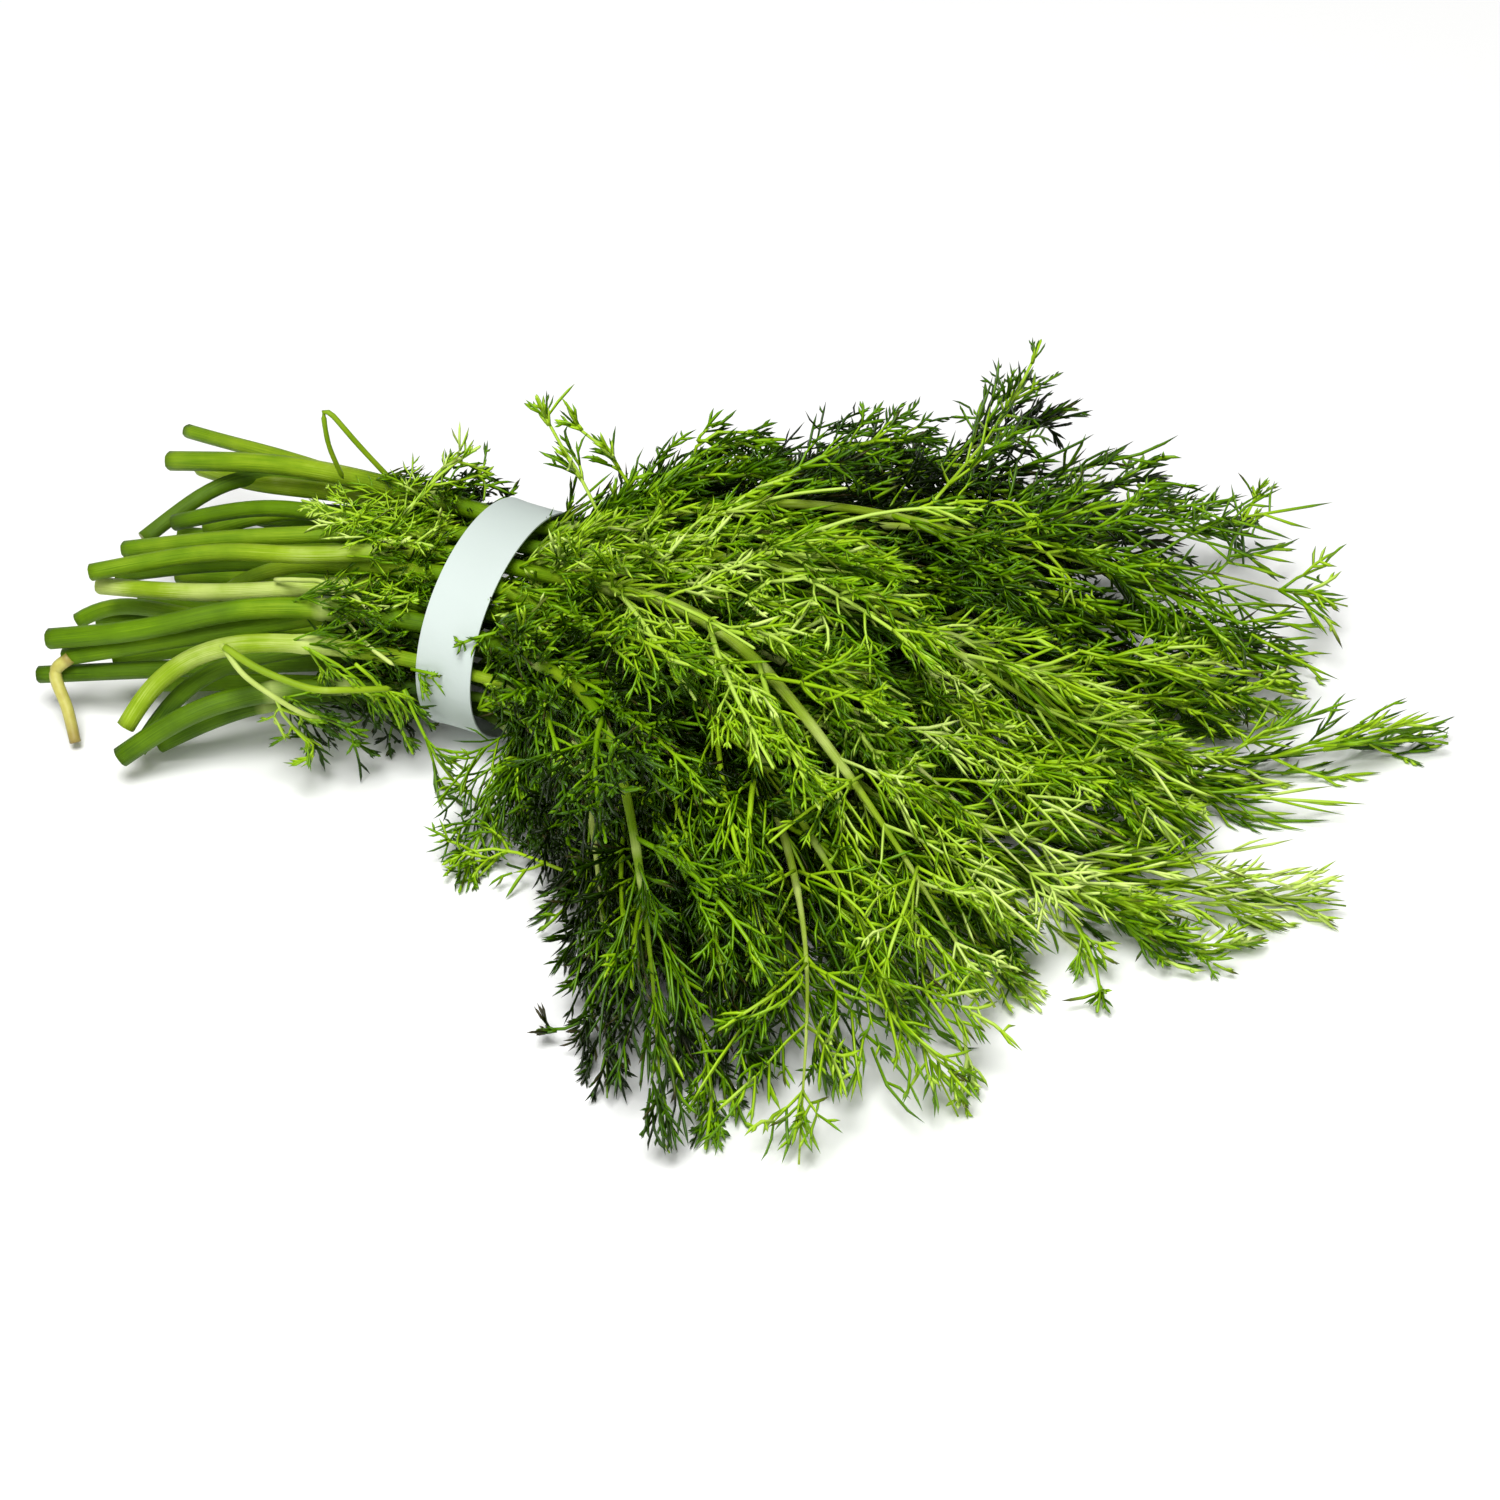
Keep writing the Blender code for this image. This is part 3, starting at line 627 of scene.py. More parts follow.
def smooth_resample(line, along, even):
    """Points at even distances on a smooth curve through the line's points."""
    slope = np.gradient(line, along, axis=0)
    k = np.clip(np.searchsorted(along, even, side="right") - 1, 0, len(along) - 2)
    h = (along[k + 1] - along[k])[:, None]
    t = ((even - along[k])[:, None]) / h
    a, b, m, n = line[k], line[k + 1], slope[k] * h, slope[k + 1] * h
    first = (2 * t**3 - 3 * t**2 + 1) * a + (t**3 - 2 * t**2 + t) * m
    return first + (3 * t**2 - 2 * t**3) * b + (t**3 - t**2) * n


def mesh_object(name, points, faces, layers, surfaces, which=None, uv=None):
    """A smooth-shaded mesh from arrays in millimetres, with its float attributes and materials."""
    mesh = bpy.data.meshes.new(name)
    mesh.from_pydata((points * MM).tolist(), [], faces if isinstance(faces, list) else faces.tolist())
    for layer, values in layers.items():
        mesh.attributes.new(layer, "FLOAT", "POINT").data.foreach_set("value", np.asarray(values, np.float32))
    if uv is not None:
        loops = np.empty(len(mesh.loops), np.int32)
        mesh.loops.foreach_get("vertex_index", loops)
        mesh.uv_layers.new(name="along").data.foreach_set("uv", uv[loops].astype(np.float32).ravel())
    for surface in surfaces:
        mesh.materials.append(surface)
    if which is not None:
        mesh.polygons.foreach_set("material_index", which)
    mesh.shade_smooth()
    mesh.update()
    piece = bpy.data.objects.new(name, mesh)
    bpy.context.scene.collection.objects.link(piece)
    return piece


# Living dill stalk: waxy green skin over fine ribs, greener between them, paler at the joints and dull in
# patches.
STALK_RAMP = ((0.25, "2a4800"), (0.6, "648b00"), (0.84, "96b31e"), (1.0, "c8d878"))
RIB_STREAKS = (46.0, 0.06, 1.0)
stalk_skin, tree, shader = new_material("dill_stalk_skin")
place = add_node(tree, "ShaderNodeTexCoord")
streaked = add_node(tree, "ShaderNodeMapping", {}, {"Vector": place.outputs["UV"]}, Scale=RIB_STREAKS)
stripe = noise(tree, streaked.outputs[0], Scale=1.0, Detail=3.0)
blotch = noise(tree, place.outputs["Object"], Scale=90.0, Detail=4.0)
streaky = with_share(tree, stripe, 0.5, stored(tree, "tone"))
green = ramped(tree, with_share(tree, blotch, 0.5, streaky), STALK_RAMP)
bloom = noise(tree, place.outputs["Object"], Scale=28.0, Detail=3.0)
bloom_share = add_node(
    tree, "ShaderNodeMapRange", links={"Value": bloom}, From_Min=0.45, From_Max=0.8, To_Max=0.4
).outputs[0]
dulled = mixed(tree, bloom_share, green, "6f8c2a")
skin_colour = mixed(tree, stored(tree, "joint"), dulled, "ccdc80")
set_surface(tree, shader, skin_colour, 0.5, 0.14, stripe, Strength=0.6, Distance=0.0003)

# Freshly cut dill stalk end: pale moist pith inside a green rim.
cut_pith, tree, shader = new_material("cut_stalk_pith")
place = add_node(tree, "ShaderNodeTexCoord").outputs["Object"]
set_surface(tree, shader, mixed(tree, noise(tree, place, Scale=1400.0), "7d8a3e", "c3c88a"), 0.6)

draw = random.Random(SEED + 2)
for k, (line, radius) in enumerate(zip(lines, radii)):
    along = lengths_along(line)
    joints = [along[stalks[k]]]
    for owner, group, frond in fronds:
        if owner == k and group >= len(lines):
            joints.append(along[int(np.linalg.norm(line - frond[0], axis=1).argmin())])
    places = np.arange(len(line))
    past = np.clip((places - stalks[k]) / (len(line) - 1 - stalks[k]), 0, 1)
    tapered = radius + (STALK_TIP_RADIUS - radius) * past**STALK_TIP_POWER
    stouter = BARE_STOUTNESS.get(k, LEAFY_STOUTNESS) - 1
    tapered = tapered * (1 + stouter * np.clip(places / len(line) - STOUT_FROM, 0, STOUT_OVER) / STOUT_OVER)
    eased = line.copy()
    for _ in range(EASINGS):
        eased[1:-1] = (eased[:-2] + 2 * eased[1:-1] + eased[2:]) / 4
    eased = np.clip(eased, CAD_LOW + tapered.max(), CAD_HIGH - tapered.max())
    rings, near, even = stalk_arrays(eased, tapered, joints, draw.uniform(-RIBS_TURN, RIBS_TURN))
    tones = STALK_TONES.get(k, 0.0) + draw.uniform(*TONE_VARIES) + stray(draw, len(even), TONE_STRAYS)
    tones += np.interp(even, *TONE_ALONG)
    tones -= NEAR_TIE_DARKER * np.exp(-(((rings.mean(1)[:, 0] - NEAR_TIE[0]) / NEAR_TIE[1]) ** 2))

    rim = rings[0]
    inward = rings[1].mean(0) - rim.mean(0)
    lip = rim + (rim.mean(0) - rim) * LIP_INWARD + inward * LIP_DEPTH
    hollow = rim.mean(0) + inward * HOLLOW_DEPTH
    points = np.vstack([hollow[None], lip, rings.reshape(-1, 3), rings[-1].mean(0)[None]])
    n = STALK_SIDES
    first_ring = 1 + n
    last_ring = first_ring + (len(rings) - 1) * n
    faces, which = [], []
    for a in range(n):
        b = (a + 1) % n
        faces.append((0, 1 + b, 1 + a))
        faces.append((1 + a, 1 + b, first_ring + b, first_ring + a))
        for low in range(first_ring, last_ring, n):
            faces.append((low + a, low + b, low + n + b, low + n + a))
        faces.append((last_ring + a, last_ring + b, last_ring + n))
        which += [1, 1] + [0] * len(rings)
    cut = 1 + n
    layers = {
        "tone": np.r_[np.full(cut, CUT_TONE), np.repeat(tones, n), tones[-1]],
        "joint": np.r_[np.zeros(cut), np.repeat(near * JOINT_PALENESS, n), near[-1]],
    }
    round_it = np.tile(np.abs(np.linspace(-1, 1, n, endpoint=False)), len(rings)) + k
    uv = np.vstack([np.zeros((cut, 2)), np.stack([round_it, np.repeat(even, n)], 1), [[k, even[-1]]]])
    name = f"stem_{k + 1:02d}"
    stalk = mesh_object(f"{name}_stalk", points, faces, layers, [stalk_skin, cut_pith], which, uv)
    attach(stalk, "root")
    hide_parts(f"stem_{k + 1:02d}")


# The fronds
# Dill leaves are divided again and again into forked threads under a millimetre wide. A few fronds are grown
# straight from seeds as thread lines, and each is laid along one of the cores and skinned at its true width.
TEMPLATE_LENGTH = 70.0
LAST_NODE = 0.76

# A thread: the shares of its length in its spans, its width at each point, how far and how fast it bends,
# and how much it varies in width and in tone.
THREAD_SPANS = (0.4, 0.35, 0.25)
THREAD_SHAPE = (0.8, 1.0, 0.9, 0.0)
THREAD_TURN = (0.08, 0.5)
THREAD_BEND = 1.1
THREAD_BEND_LIFT = (-0.7, 0.5)
THREAD_THINNEST = 0.2
THREAD_VARIES = 0.12
THREAD_TONE_VARIES = 0.12
THREAD_TONES = (0.06, -0.02)
THREAD_SAG = 0.005
DRY_SHARE = 0.08
THREAD_SIDES = 3
FINE_STEP = 2.0

# The shorter threads that fork from one: how likely each is, its side and the stretch it may leave from, its
# angle and length, and how much of its thread's tone it keeps.
FORK_SPANS = (0.55, 0.45)
FORK_SHAPE = (0.75, 0.95, 0.0)
FORK_SHARE = 0.51
FORKS_AT = ((-1, 0.12, 0.32), (1, 0.18, 0.42), (-1, 0.42, 0.62), (1, 0.48, 0.7))
FORK_ANGLE = (0.45, 0.9)
FORK_LIFT = 0.4
FORK_LENGTH = (0.5, 0.75)
FORK_SHORTENS_FROM = 1.1
FORK_TONE = (0.7, 0.5)

# A pinna, which is one branch of a frond: its axis, and the threads in pairs along it and at its end.
AXIS_POINTS = 4
AXIS_SHARE = 0.66
AXIS_FORWARD = (0.05, 0.3)
AXIS_STRAYS = 0.12
AXIS_RADII = (0.5, 0.3)
AXIS_THREAD = 0.4
PAIRS_FROM = 0.3
PAIRS_OVER = 0.7
PAIR_PLACE = 0.4
PAIR_LEAN = (0.3, 0.72)
PAIR_LIFT = 0.5
PAIR_LENGTH = (0.42, 0.62)
PAIR_SHORTENS = 0.25
END_LENGTH = (0.45, 0.6)

# A frond: how its pinnae thin out and shorten towards its tip, and how much they vary. At some nodes a
# third and smaller pinna stands up or down, and a tuft of three threads ends the frond.
NODES_CROWD = 0.92
PINNAE_SHORTEN = 1.1
PINNAE_VARY = (0.82, 1.15)
PAIRS_LOST = 0.55
PINNA_LIFT = 38.0
NODE_STRAYS = 0.8
THIRD_CHANCE = 0.5
THIRD_LEAN = (25, 50)
THIRD_SIZE = 0.7
TUFT_PAST = 0.05
TUFT_ANGLE = 0.35
TUFT_STRAYS = 0.1
TUFT_LIFT = 0.3
TRIM_PAST = 0.5


def turned(ahead, across, angle, lift):
    """A direction turned from ahead towards across by the angle, and raised by the lift."""
    flat = ahead * math.cos(angle) + across * math.sin(angle)
    upper = np.cross(ahead, across)
    upper /= np.linalg.norm(upper)
    return flat * math.cos(lift) + upper * math.sin(lift)


class Sketch:
    """The threads and axes of a frond that is being grown, before they are skinned."""

    def __init__(self, openness, shortest):
        self.openness = openness
        self.shortest = shortest
        self.threads = []
        self.thread_tones = []
        self.forks = []
        self.fork_tones = []
        self.parents = []
        self.axes = []
        self.axis_radii = []

    def thread(self, draw, base, ahead, bend, length, spans):
        """The points of a thread that starts out ahead and bends towards bend."""
        turn = draw.uniform(*THREAD_TURN)
        points = [base]
        way = ahead
        for span in spans:
            points.append(points[-1] + way * length * span)
            way = way * (1 - turn) + bend * turn
            way = way / np.linalg.norm(way)
        return points

    def forked(self, draw, base, ahead, across, length):
        """A pinnule: a thread with up to four shorter ones that fork from its sides."""
        bend_angle = draw.uniform(-THREAD_BEND, THREAD_BEND)
        bend = turned(ahead, across, bend_angle, draw.uniform(*THREAD_BEND_LIFT))
        main = self.thread(draw, base, ahead, bend, length, THREAD_SPANS)
        tone = draw.gauss(0, 1)
        self.threads.append(main)
        self.thread_tones.append(tone)
        reached = np.r_[0, np.cumsum(THREAD_SPANS)]
        for side, nearest, farthest in FORKS_AT:
            if draw.random() > FORK_SHARE:
                continue
            at = draw.uniform(nearest, farthest)
            start = np.array([np.interp(at, reached, [point[a] for point in main]) for a in range(3)])
            angle = draw.uniform(*FORK_ANGLE) * self.openness
            way = turned(ahead, across * side, angle, draw.uniform(-FORK_LIFT, FORK_LIFT))
            fork_length = length * draw.uniform(*FORK_LENGTH) * (FORK_SHORTENS_FROM - at)
            self.forks.append(self.thread(draw, start, way, ahead, fork_length, FORK_SPANS))
            self.fork_tones.append(FORK_TONE[0] * tone + FORK_TONE[1] * draw.gauss(0, 1))
            self.parents.append(len(self.threads) - 1)

    def pinna(self, draw, base, ahead, across, forward, size, pairs):
        """One of a frond's branches, with forked pinnules along it."""
        count = AXIS_POINTS
        points = [base]
        way = ahead
        for _ in range(count - 1):
            points.append(points[-1] + way * size * AXIS_SHARE / (count - 1))
            way = way + forward * draw.uniform(*AXIS_FORWARD)
            way = way + across * draw.uniform(-AXIS_STRAYS, AXIS_STRAYS)
            way /= np.linalg.norm(way)
        points = np.array(points)
        self.axes.append(points)
        self.axis_radii.append(np.linspace(*AXIS_RADII, count))
        for n in range(pairs):
            share = PAIRS_FROM + PAIRS_OVER * (n + PAIR_PLACE) / pairs
            at = share * (count - 1)
            here = np.array([np.interp(at, np.arange(count), points[:, a]) for a in range(3)])
            for side in (-1, 1):
                lean = draw.uniform(*PAIR_LEAN) * self.openness
                way_out = turned(way, across * side, lean, draw.uniform(-PAIR_LIFT, PAIR_LIFT))
                length = size * draw.uniform(*PAIR_LENGTH) * (1 - PAIR_SHORTENS * share)
                self.forked(draw, here, way_out, across * side, max(self.shortest, length))
        length = size * draw.uniform(*END_LENGTH)
        self.forked(draw, points[-1], way, across, max(self.shortest, length))

    def trim(self, reach):
        """Drops the threads that end past the reach, with their forks, and the forks that do."""
        kept = [n for n, points in enumerate(self.threads) if points[-1][0] < reach]
        left = [n for n, p in enumerate(self.forks) if p[-1][0] < reach and self.parents[n] in kept]
        self.threads = [self.threads[n] for n in kept]
        self.thread_tones = [self.thread_tones[n] for n in kept]
        self.forks = [self.forks[n] for n in left]
        self.fork_tones = [self.fork_tones[n] for n in left]
        self.parents = [kept.index(self.parents[n]) for n in left]


def grow_template(seed, nodes, first, reach, last_reach, lean, pairs, openness, shortest):
    """A straight frond along +X: pairs of pinnae at nodes, shorter towards the tip, and a tuft at the end."""
    draw = random.Random(seed)
    sketch = Sketch(openness, shortest)
    forward = np.array((1.0, 0, 0))
    sideways = np.array((0, 1.0, 0))
    for n in range(nodes):
        share = n / (nodes - 1)
        x = TEMPLATE_LENGTH * (first + (LAST_NODE - first) * share**NODES_CROWD)
        size = (reach + (last_reach - reach) * share**PINNAE_SHORTEN) * draw.uniform(*PINNAE_VARY)
        count = max(1, round(pairs * (1 - PAIRS_LOST * share)))
        for side in (-1, 1):
            angle = math.radians(draw.uniform(*lean))
            across = np.array((0, side, 0.0))
            lift = math.radians(draw.uniform(-PINNA_LIFT, PINNA_LIFT))
            way = turned(forward, across, angle, 0)
            way = way * math.cos(lift) + np.array((0, 0, 1.0)) * math.sin(lift)
            base = np.array((x + draw.uniform(-NODE_STRAYS, NODE_STRAYS), 0, 0))
            in_plane = np.cross(np.cross(way, forward), way)
            in_plane /= np.linalg.norm(in_plane)
            sketch.pinna(draw, base, way, -in_plane, forward, size, count)
        if draw.random() < THIRD_CHANCE:
            upright = np.array((0, 0, draw.choice((-1.0, 1.0))))
            way = turned(forward, upright, math.radians(draw.uniform(*THIRD_LEAN)), 0)
            base = np.array((x, 0, 0))
            sketch.pinna(draw, base, way, sideways, forward, size * THIRD_SIZE, max(1, count - 1))
    tuft = TEMPLATE_LENGTH * (LAST_NODE + TUFT_PAST)
    for side in (-1, 0, 1):
        angle = TUFT_ANGLE * side + draw.uniform(-TUFT_STRAYS, TUFT_STRAYS)
        way = turned(forward, sideways, angle, draw.uniform(-TUFT_LIFT, TUFT_LIFT))
        sketch.forked(draw, np.array((tuft, 0, 0)), way, sideways, TEMPLATE_LENGTH - tuft)
    sketch.trim(TEMPLATE_LENGTH + TRIM_PAST)
    return sketch


def skin(paths, radii, tones, sides):
    """Closed tapering tubes with a point at the far end, along paths that all have as many points."""
    count, size = paths.shape[:2]
    ahead = np.gradient(paths, axis=1)
    ahead /= np.maximum(np.linalg.norm(ahead, axis=2), 1e-9)[..., None]
    aside = np.where(np.abs(ahead[:, :1, 2:]) > 0.9, np.array((1.0, 0, 0)), np.array((0, 0, 1.0)))
    side = np.cross(ahead, np.broadcast_to(aside, ahead.shape))
    side /= np.linalg.norm(side, axis=2)[..., None]
    upper = np.cross(side, ahead)
    a = 2 * math.pi * np.arange(sides) / sides + math.pi / 2
    ring = paths[:, :-1, None] + radii[:, :-1, None, None] * (
        np.cos(a)[:, None] * side[:, :-1, None] + np.sin(a)[:, None] * upper[:, :-1, None]
    )
    body = ring.reshape(count, (size - 1) * sides, 3)
    points = np.concatenate([body, paths[:, -1:]], axis=1)
    each = (size - 1) * sides + 1
    shape = [[0, k, k + 1] for k in range(1, sides - 1)]
    for r in range(size - 2):
        for k in range(sides):
            n = (k + 1) % sides
            p, q, s, t = r * sides + k, r * sides + n, (r + 1) * sides + n, (r + 1) * sides + k
            shape += [[p, s, q], [p, t, s]]
    for k in range(sides):
        shape.append([(size - 2) * sides + k, each - 1, (size - 2) * sides + (k + 1) % sides])
    faces = (np.array(shape)[None] + (np.arange(count) * each)[:, None, None]).reshape(-1, 3)
    shades = np.concatenate([np.repeat(tones[:, :-1], sides, axis=1), tones[:, -1:]], axis=1)
    return points.reshape(-1, 3), faces, shades.reshape(-1)


def lay(points, line, spread, roll):
    """Straight frond points, carried onto a core's line."""
    along = lengths_along(line)
    ahead, side, upper = frames_along(line, roll)
    stretch = along[-1] / TEMPLATE_LENGTH
    at = points[..., 0] * stretch
    over = np.maximum(at - along[-1], 0)
    across = points[..., 1] * spread
    up = points[..., 2] * spread

    def read(values):
        return np.stack([np.interp(at, along, values[:, a]) for a in range(3)], -1)

    placed = read(line) + over[..., None] * ahead[-1]
    placed = placed + across[..., None] * read(side) + up[..., None] * read(upper)
    placed[..., 2] -= np.hypot(across, up) ** 2 * THREAD_SAG
    return placed


def inside(paths, margin):
    """Paths kept above the table and within the bunch's reach."""
    paths = np.clip(paths, CAD_LOW + margin, CAD_HIGH - margin)
    paths[..., 2] = np.maximum(paths[..., 2], FLOOR_GAP + margin)
    return paths


# Living dill leaf: thin waxy threads from deep green to bright yellow-green by their tone, which varies from
# thread to thread and carries painted shade deep in the bunch and painted light on its outside; dry brown
# tips.
LEAF_RAMP = ((0.1, "142400"), (0.38, "3d6500"), (0.6, "6e9e02"), (0.8, "a4cb1c"), (1.0, "d2e97c"))
leaf_skin, tree, shader = new_material("dill_leaf_threads")
place = add_node(tree, "ShaderNodeTexCoord").outputs["Object"]
patchy = with_share(tree, noise(tree, place, Scale=45.0, Detail=2.0), 0.35, stored(tree, "tone"))
green = ramped(tree, patchy, LEAF_RAMP)
set_surface(tree, shader, mixed(tree, stored(tree, "wilt"), green, "3d3413"), 0.33, 0.22)

# The kinds of frond: how many are grown and from which seed on, their nodes and where the first is, the
# pinnae's size at the first and at the last node and their angle, their pairs, how wide they open, and the
# shortest thread.
Kind = namedtuple("Kind", "count seed nodes first reach last_reach lean pairs openness shortest")
LEAVES, BRUSHES, CROWNS, COMBS, TWIGS, WISPS = (
    [grow_template(kind.seed + k, *kind[2:]) for k in range(kind.count)]
    for kind in (
        Kind(7, 100, 6, 0.12, 30, 14, (20, 46), 3, 1.0, 8.0),
        Kind(4, 150, 6, 0.03, 34, 16, (10, 26), 3, 0.6, 11.0),
        Kind(3, 200, 4, 0.06, 42, 20, (34, 54), 4, 1.15, 9.0),
        Kind(4, 250, 5, 0.0, 36, 22, (5, 22), 2, 0.5, 22.0),
        Kind(5, 300, 3, 0.15, 30, 22, (18, 42), 1, 1.0, 16.0),
        Kind(4, 350, 2, 0.3, 20, 16, (8, 26), 1, 0.6, 17.0),
    )
)
CROWNED = (26, 27, 28, 29, 24, 21, 22, 15, 19)

# Single sprigs that show in the photograph, a line each: the stem that bears it, whether it is leafy or a
# wisp, its thread radius, its tone, how dry its ends are, and then its run, point by point.
SINGLE_SPRIGS = """
14 leafy 0.34 0.5 0.1: -30 -53 30, -29 -51 22, -27 -46 14, -26 -46 8
8 wisp 0.36 0.36 0.2: -9 -32 24, -3 -34 14, 5 -38 8, 14 -41 6, 22 -46 4
8 wisp 0.34 0.4 0.15: -17 -39 34, -12 -36 26, -9 -35 16, -5 -36 9
14 leafy 0.4 0.42 0.15: 43 -56 8, 28 -53 6, 19 -55 4, 15 -61 3
25 wisp 0.34 0.44 0.1: 84 87 44, 86 96 50, 88 103 56, 88 109 60
28 wisp 0.4 0.5 0.0: 21 10 53, 13 14 62, 7 14 71, 1 18 77
29 wisp 0.4 0.46 0.0: 26 19 54, 18 19 66, 11 18 71, 6 17 72
29 wisp 0.4 0.4 0.0: 32 34 54, 33 36 62, 41 41 64, 49 43 62
18 leafy 0.42 0.42 0.1: 127 39 30, 142 47 24, 157 61 15, 171 75 7
6 leafy 0.42 0.42 0.1: 134 35 24, 147 46 17, 160 59 11, 169 71 6
5 leafy 0.42 0.38 0.1: 144 -23 16, 160 -21 10, 177 -17 5, 192 -6 3
5 wisp 0.42 0.36 0.1: 149 -23 12, 159 -30 7, 164 -36 4, 166 -43 2
20 leafy 0.42 0.36 0.1: 84 -81 18, 94 -92 10, 102 -103 5, 107 -117 2
24 wisp 0.36 0.44 0.1: 138 113 14, 139 120 18, 139 127 20
20 wisp 0.36 0.1 0.9: 74 -91 10, 67 -99 6, 59 -101 4
21 wisp 0.4 0.62 0.1: 145 -68 10, 148 -73 7, 151 -85 4
20 wisp 0.28 0.3 0.2: -7.6 -30.4 29.4, -4.2 -30.8 28.7, -0.5 -30.8 30.4
20 wisp 0.28 0.24 0.3: -9 -31.5 23.8, -5.5 -31.2 17.2, -2.2 -30 12.8
21 wisp 0.3 0.3 0.2: 12.2 -24 42.3, 9.2 -25.2 41.6, 5.5 -27 39.5, 2.3 -28 37.5
18 leafy 0.42 0.46 0.05: 95 45 30, 114 42 26, 129 48 20, 145 60 12
18 leafy 0.42 0.5 0.05: 95 58 32, 115 57 28, 131 62 22, 147 74 14
6 leafy 0.42 0.42 0.05: 97 35 26, 118 34 22, 133 39 16, 150 47 10
6 leafy 0.42 0.4 0.05: 102 53 20, 122 53 18, 135 65 14, 151 82 10
5 leafy 0.42 0.4 0.05: 121 1 24, 137 -1 20, 150 3 14, 165 8 8
5 leafy 0.42 0.4 0.05: 122 42 14, 137 48 12, 147 61 9, 157 74 6
27 leafy 0.36 0.45 0.0: 107 -37 44, 105 -46 46, 101 -56 45, 97 -64 42
27 leafy 0.36 0.45 0.0: 108 -36 44, 115 -35 44, 122 -29 38, 132 -27 30
27 leafy 0.36 0.47 0.0: 125 -48 33, 128 -61 34, 129 -72 30, 129 -78 22
27 leafy 0.36 0.45 0.0: 125 -48 33, 133 -49 32, 139 -44 26, 147 -46 20
26 leafy 0.36 0.44 0.0: 101 -59 32, 99 -68 34, 94 -75 32, 88 -80 27
26 leafy 0.36 0.44 0.0: 102 -59 32, 113 -66 38, 121 -69 36, 127 -68 26
26 leafy 0.36 0.44 0.0: 112 -77 24, 112 -87 26, 108 -93 24, 101 -98 18
26 leafy 0.36 0.44 0.0: 113 -77 24, 121 -79 24, 131 -80 22, 142 -82 16
18 leafy 0.38 0.46 0.0: 113 3 24, 138 2 27, 150 2 24, 161 0 16
18 leafy 0.38 0.45 0.0: 138 2 27, 147 8 30, 153 18 27, 158 27 20
29 leafy 0.38 0.46 0.0: 87 46 54, 88 61 54, 87 86 50, 84 115 46
29 leafy 0.38 0.46 0.0: 89 46 54, 95 53 53, 104 56 51, 112 57 46
24 leafy 0.26 0.48 0.0: -15 -4 44, -24 -6 48, -36 -5 47, -51 -2 44
25 leafy 0.26 0.46 0.0: -15 4 46, -26 5 47, -34 1 46, -40 -8 43
14 leafy 0.26 0.44 0.0: -13 -13 38, -16 -23 41, -24 -24 42, -31 -22 40
"""

# Three stems lie on top of the others and are bare along part of the side that shows. There most threads
# that would lie over one or within the bare margin of its edge are left out, and of the leaves all round it
# some of those within the cleared margin of its middle.
SEEN_FROM = np.array(CAMERA_PLACE) / MM
SEEN_AHEAD = np.array(CAMERA_AIM) / MM - SEEN_FROM
SEEN_AHEAD /= np.linalg.norm(SEEN_AHEAD)
SEEN_RIGHT = np.cross(SEEN_AHEAD, (0, 0, 1.0))
SEEN_RIGHT /= np.linalg.norm(SEEN_RIGHT)
SEEN_UP = np.cross(SEEN_RIGHT, SEEN_AHEAD)
BARE_SHARE = 0.97
BARE_MARGIN = 0.9
CLEARED_SHARE = 0.45
CLEARED_MARGIN = 4.0
BARE_LENGTHS = {26: (0.56, 0.84), 27: (0.2, 0.9), 29: (0.42, 0.66)}

# Painted shade: how dark the threads are under the bunch's outside, with a little painted light on the
# outermost:
# the size of the patches in which its height is taken, the change for each millimetre further in, and the
# limits.
PATCH = 4.0
PAINTED_SHADE_RATE = 0.028
PAINTED_SHADE_LIMITS = (-0.3, 0.06)

# Painted light makes the leaves paler towards the bunch's leafy end, and painted shade makes them darker to
# both
# sides: the places and the changes there, and how the painted shade on the sides fades towards the end.
PAINTED_LIGHT_ALONG = ((10, 50, 100, 150), (0.0, -0.05, -0.05, 0.08))
PAINTED_SHADE_ACROSS = ((-70, -45, 10, 35), (-0.09, 0.0, 0.0, -0.18))
PAINTED_SHADE_FADES = ((105, 140), (1.0, 0.3))


def seen(points):
    """Where points show, and how far off they are, from the side of the bunch that shows."""
    off = points - SEEN_FROM
    far = off @ SEEN_AHEAD
    return off @ SEEN_RIGHT / far, off @ SEEN_UP / far, far


def over_stem(paths, line, radius, margin):
    """Which paths have a point over the line, on the side that shows, within the margin of its edge."""
    fine = smooth(line, FINE_STEP)
    x, y, far = seen(fine)
    half = np.interp(np.linspace(0, 1, len(fine)), np.linspace(0, 1, len(radius)), radius) + margin
    between = (paths[:, 1:] + paths[:, :-1]) / 2
    paths = np.concatenate([paths, between], axis=1)
    px, py, pfar = seen(paths.reshape(-1, 3))
    over = np.zeros(len(px), bool)
    for a, b, f, h in zip(x, y, far, half):
        over |= (np.hypot(px - a, py - b) * f < h) & (pfar < f)
    return over.reshape(len(paths), -1).any(1)


Laid = namedtuple(
    "Laid", "owner kind strands parents axes axis_radii axis_tones rachis rachis_radii rachis_tone"
)
Strands = namedtuple("Strands", "paths radii tones dry")

# A frond's own axis, with the share of its last step that its blunt end takes, and how a frond varies when it
# is laid: how wide it spreads, how it rolls, its tone, and how dry its threads and forks are at each point.
RACHIS_SIDES = 5
RACHIS_MARGIN = 0.4
BLUNT_END = 0.1
RACHIS_RADIUS = 0.7
RACHIS_END = 0.35
RACHIS_STEP = 6.0
RACHIS_PALER = 0.17
AXIS_PALER = 0.13
SPREAD = (0.28, 0.6)
SPREAD_VARIES = (0.86, 1.1)
ROLL_VARIES = 0.6
SHADE_VARIES = 0.1
THREADS_DRY = (0, 0.2, 0.8, 1.0)
FORKS_DRY = (0, 0.5, 1.0)


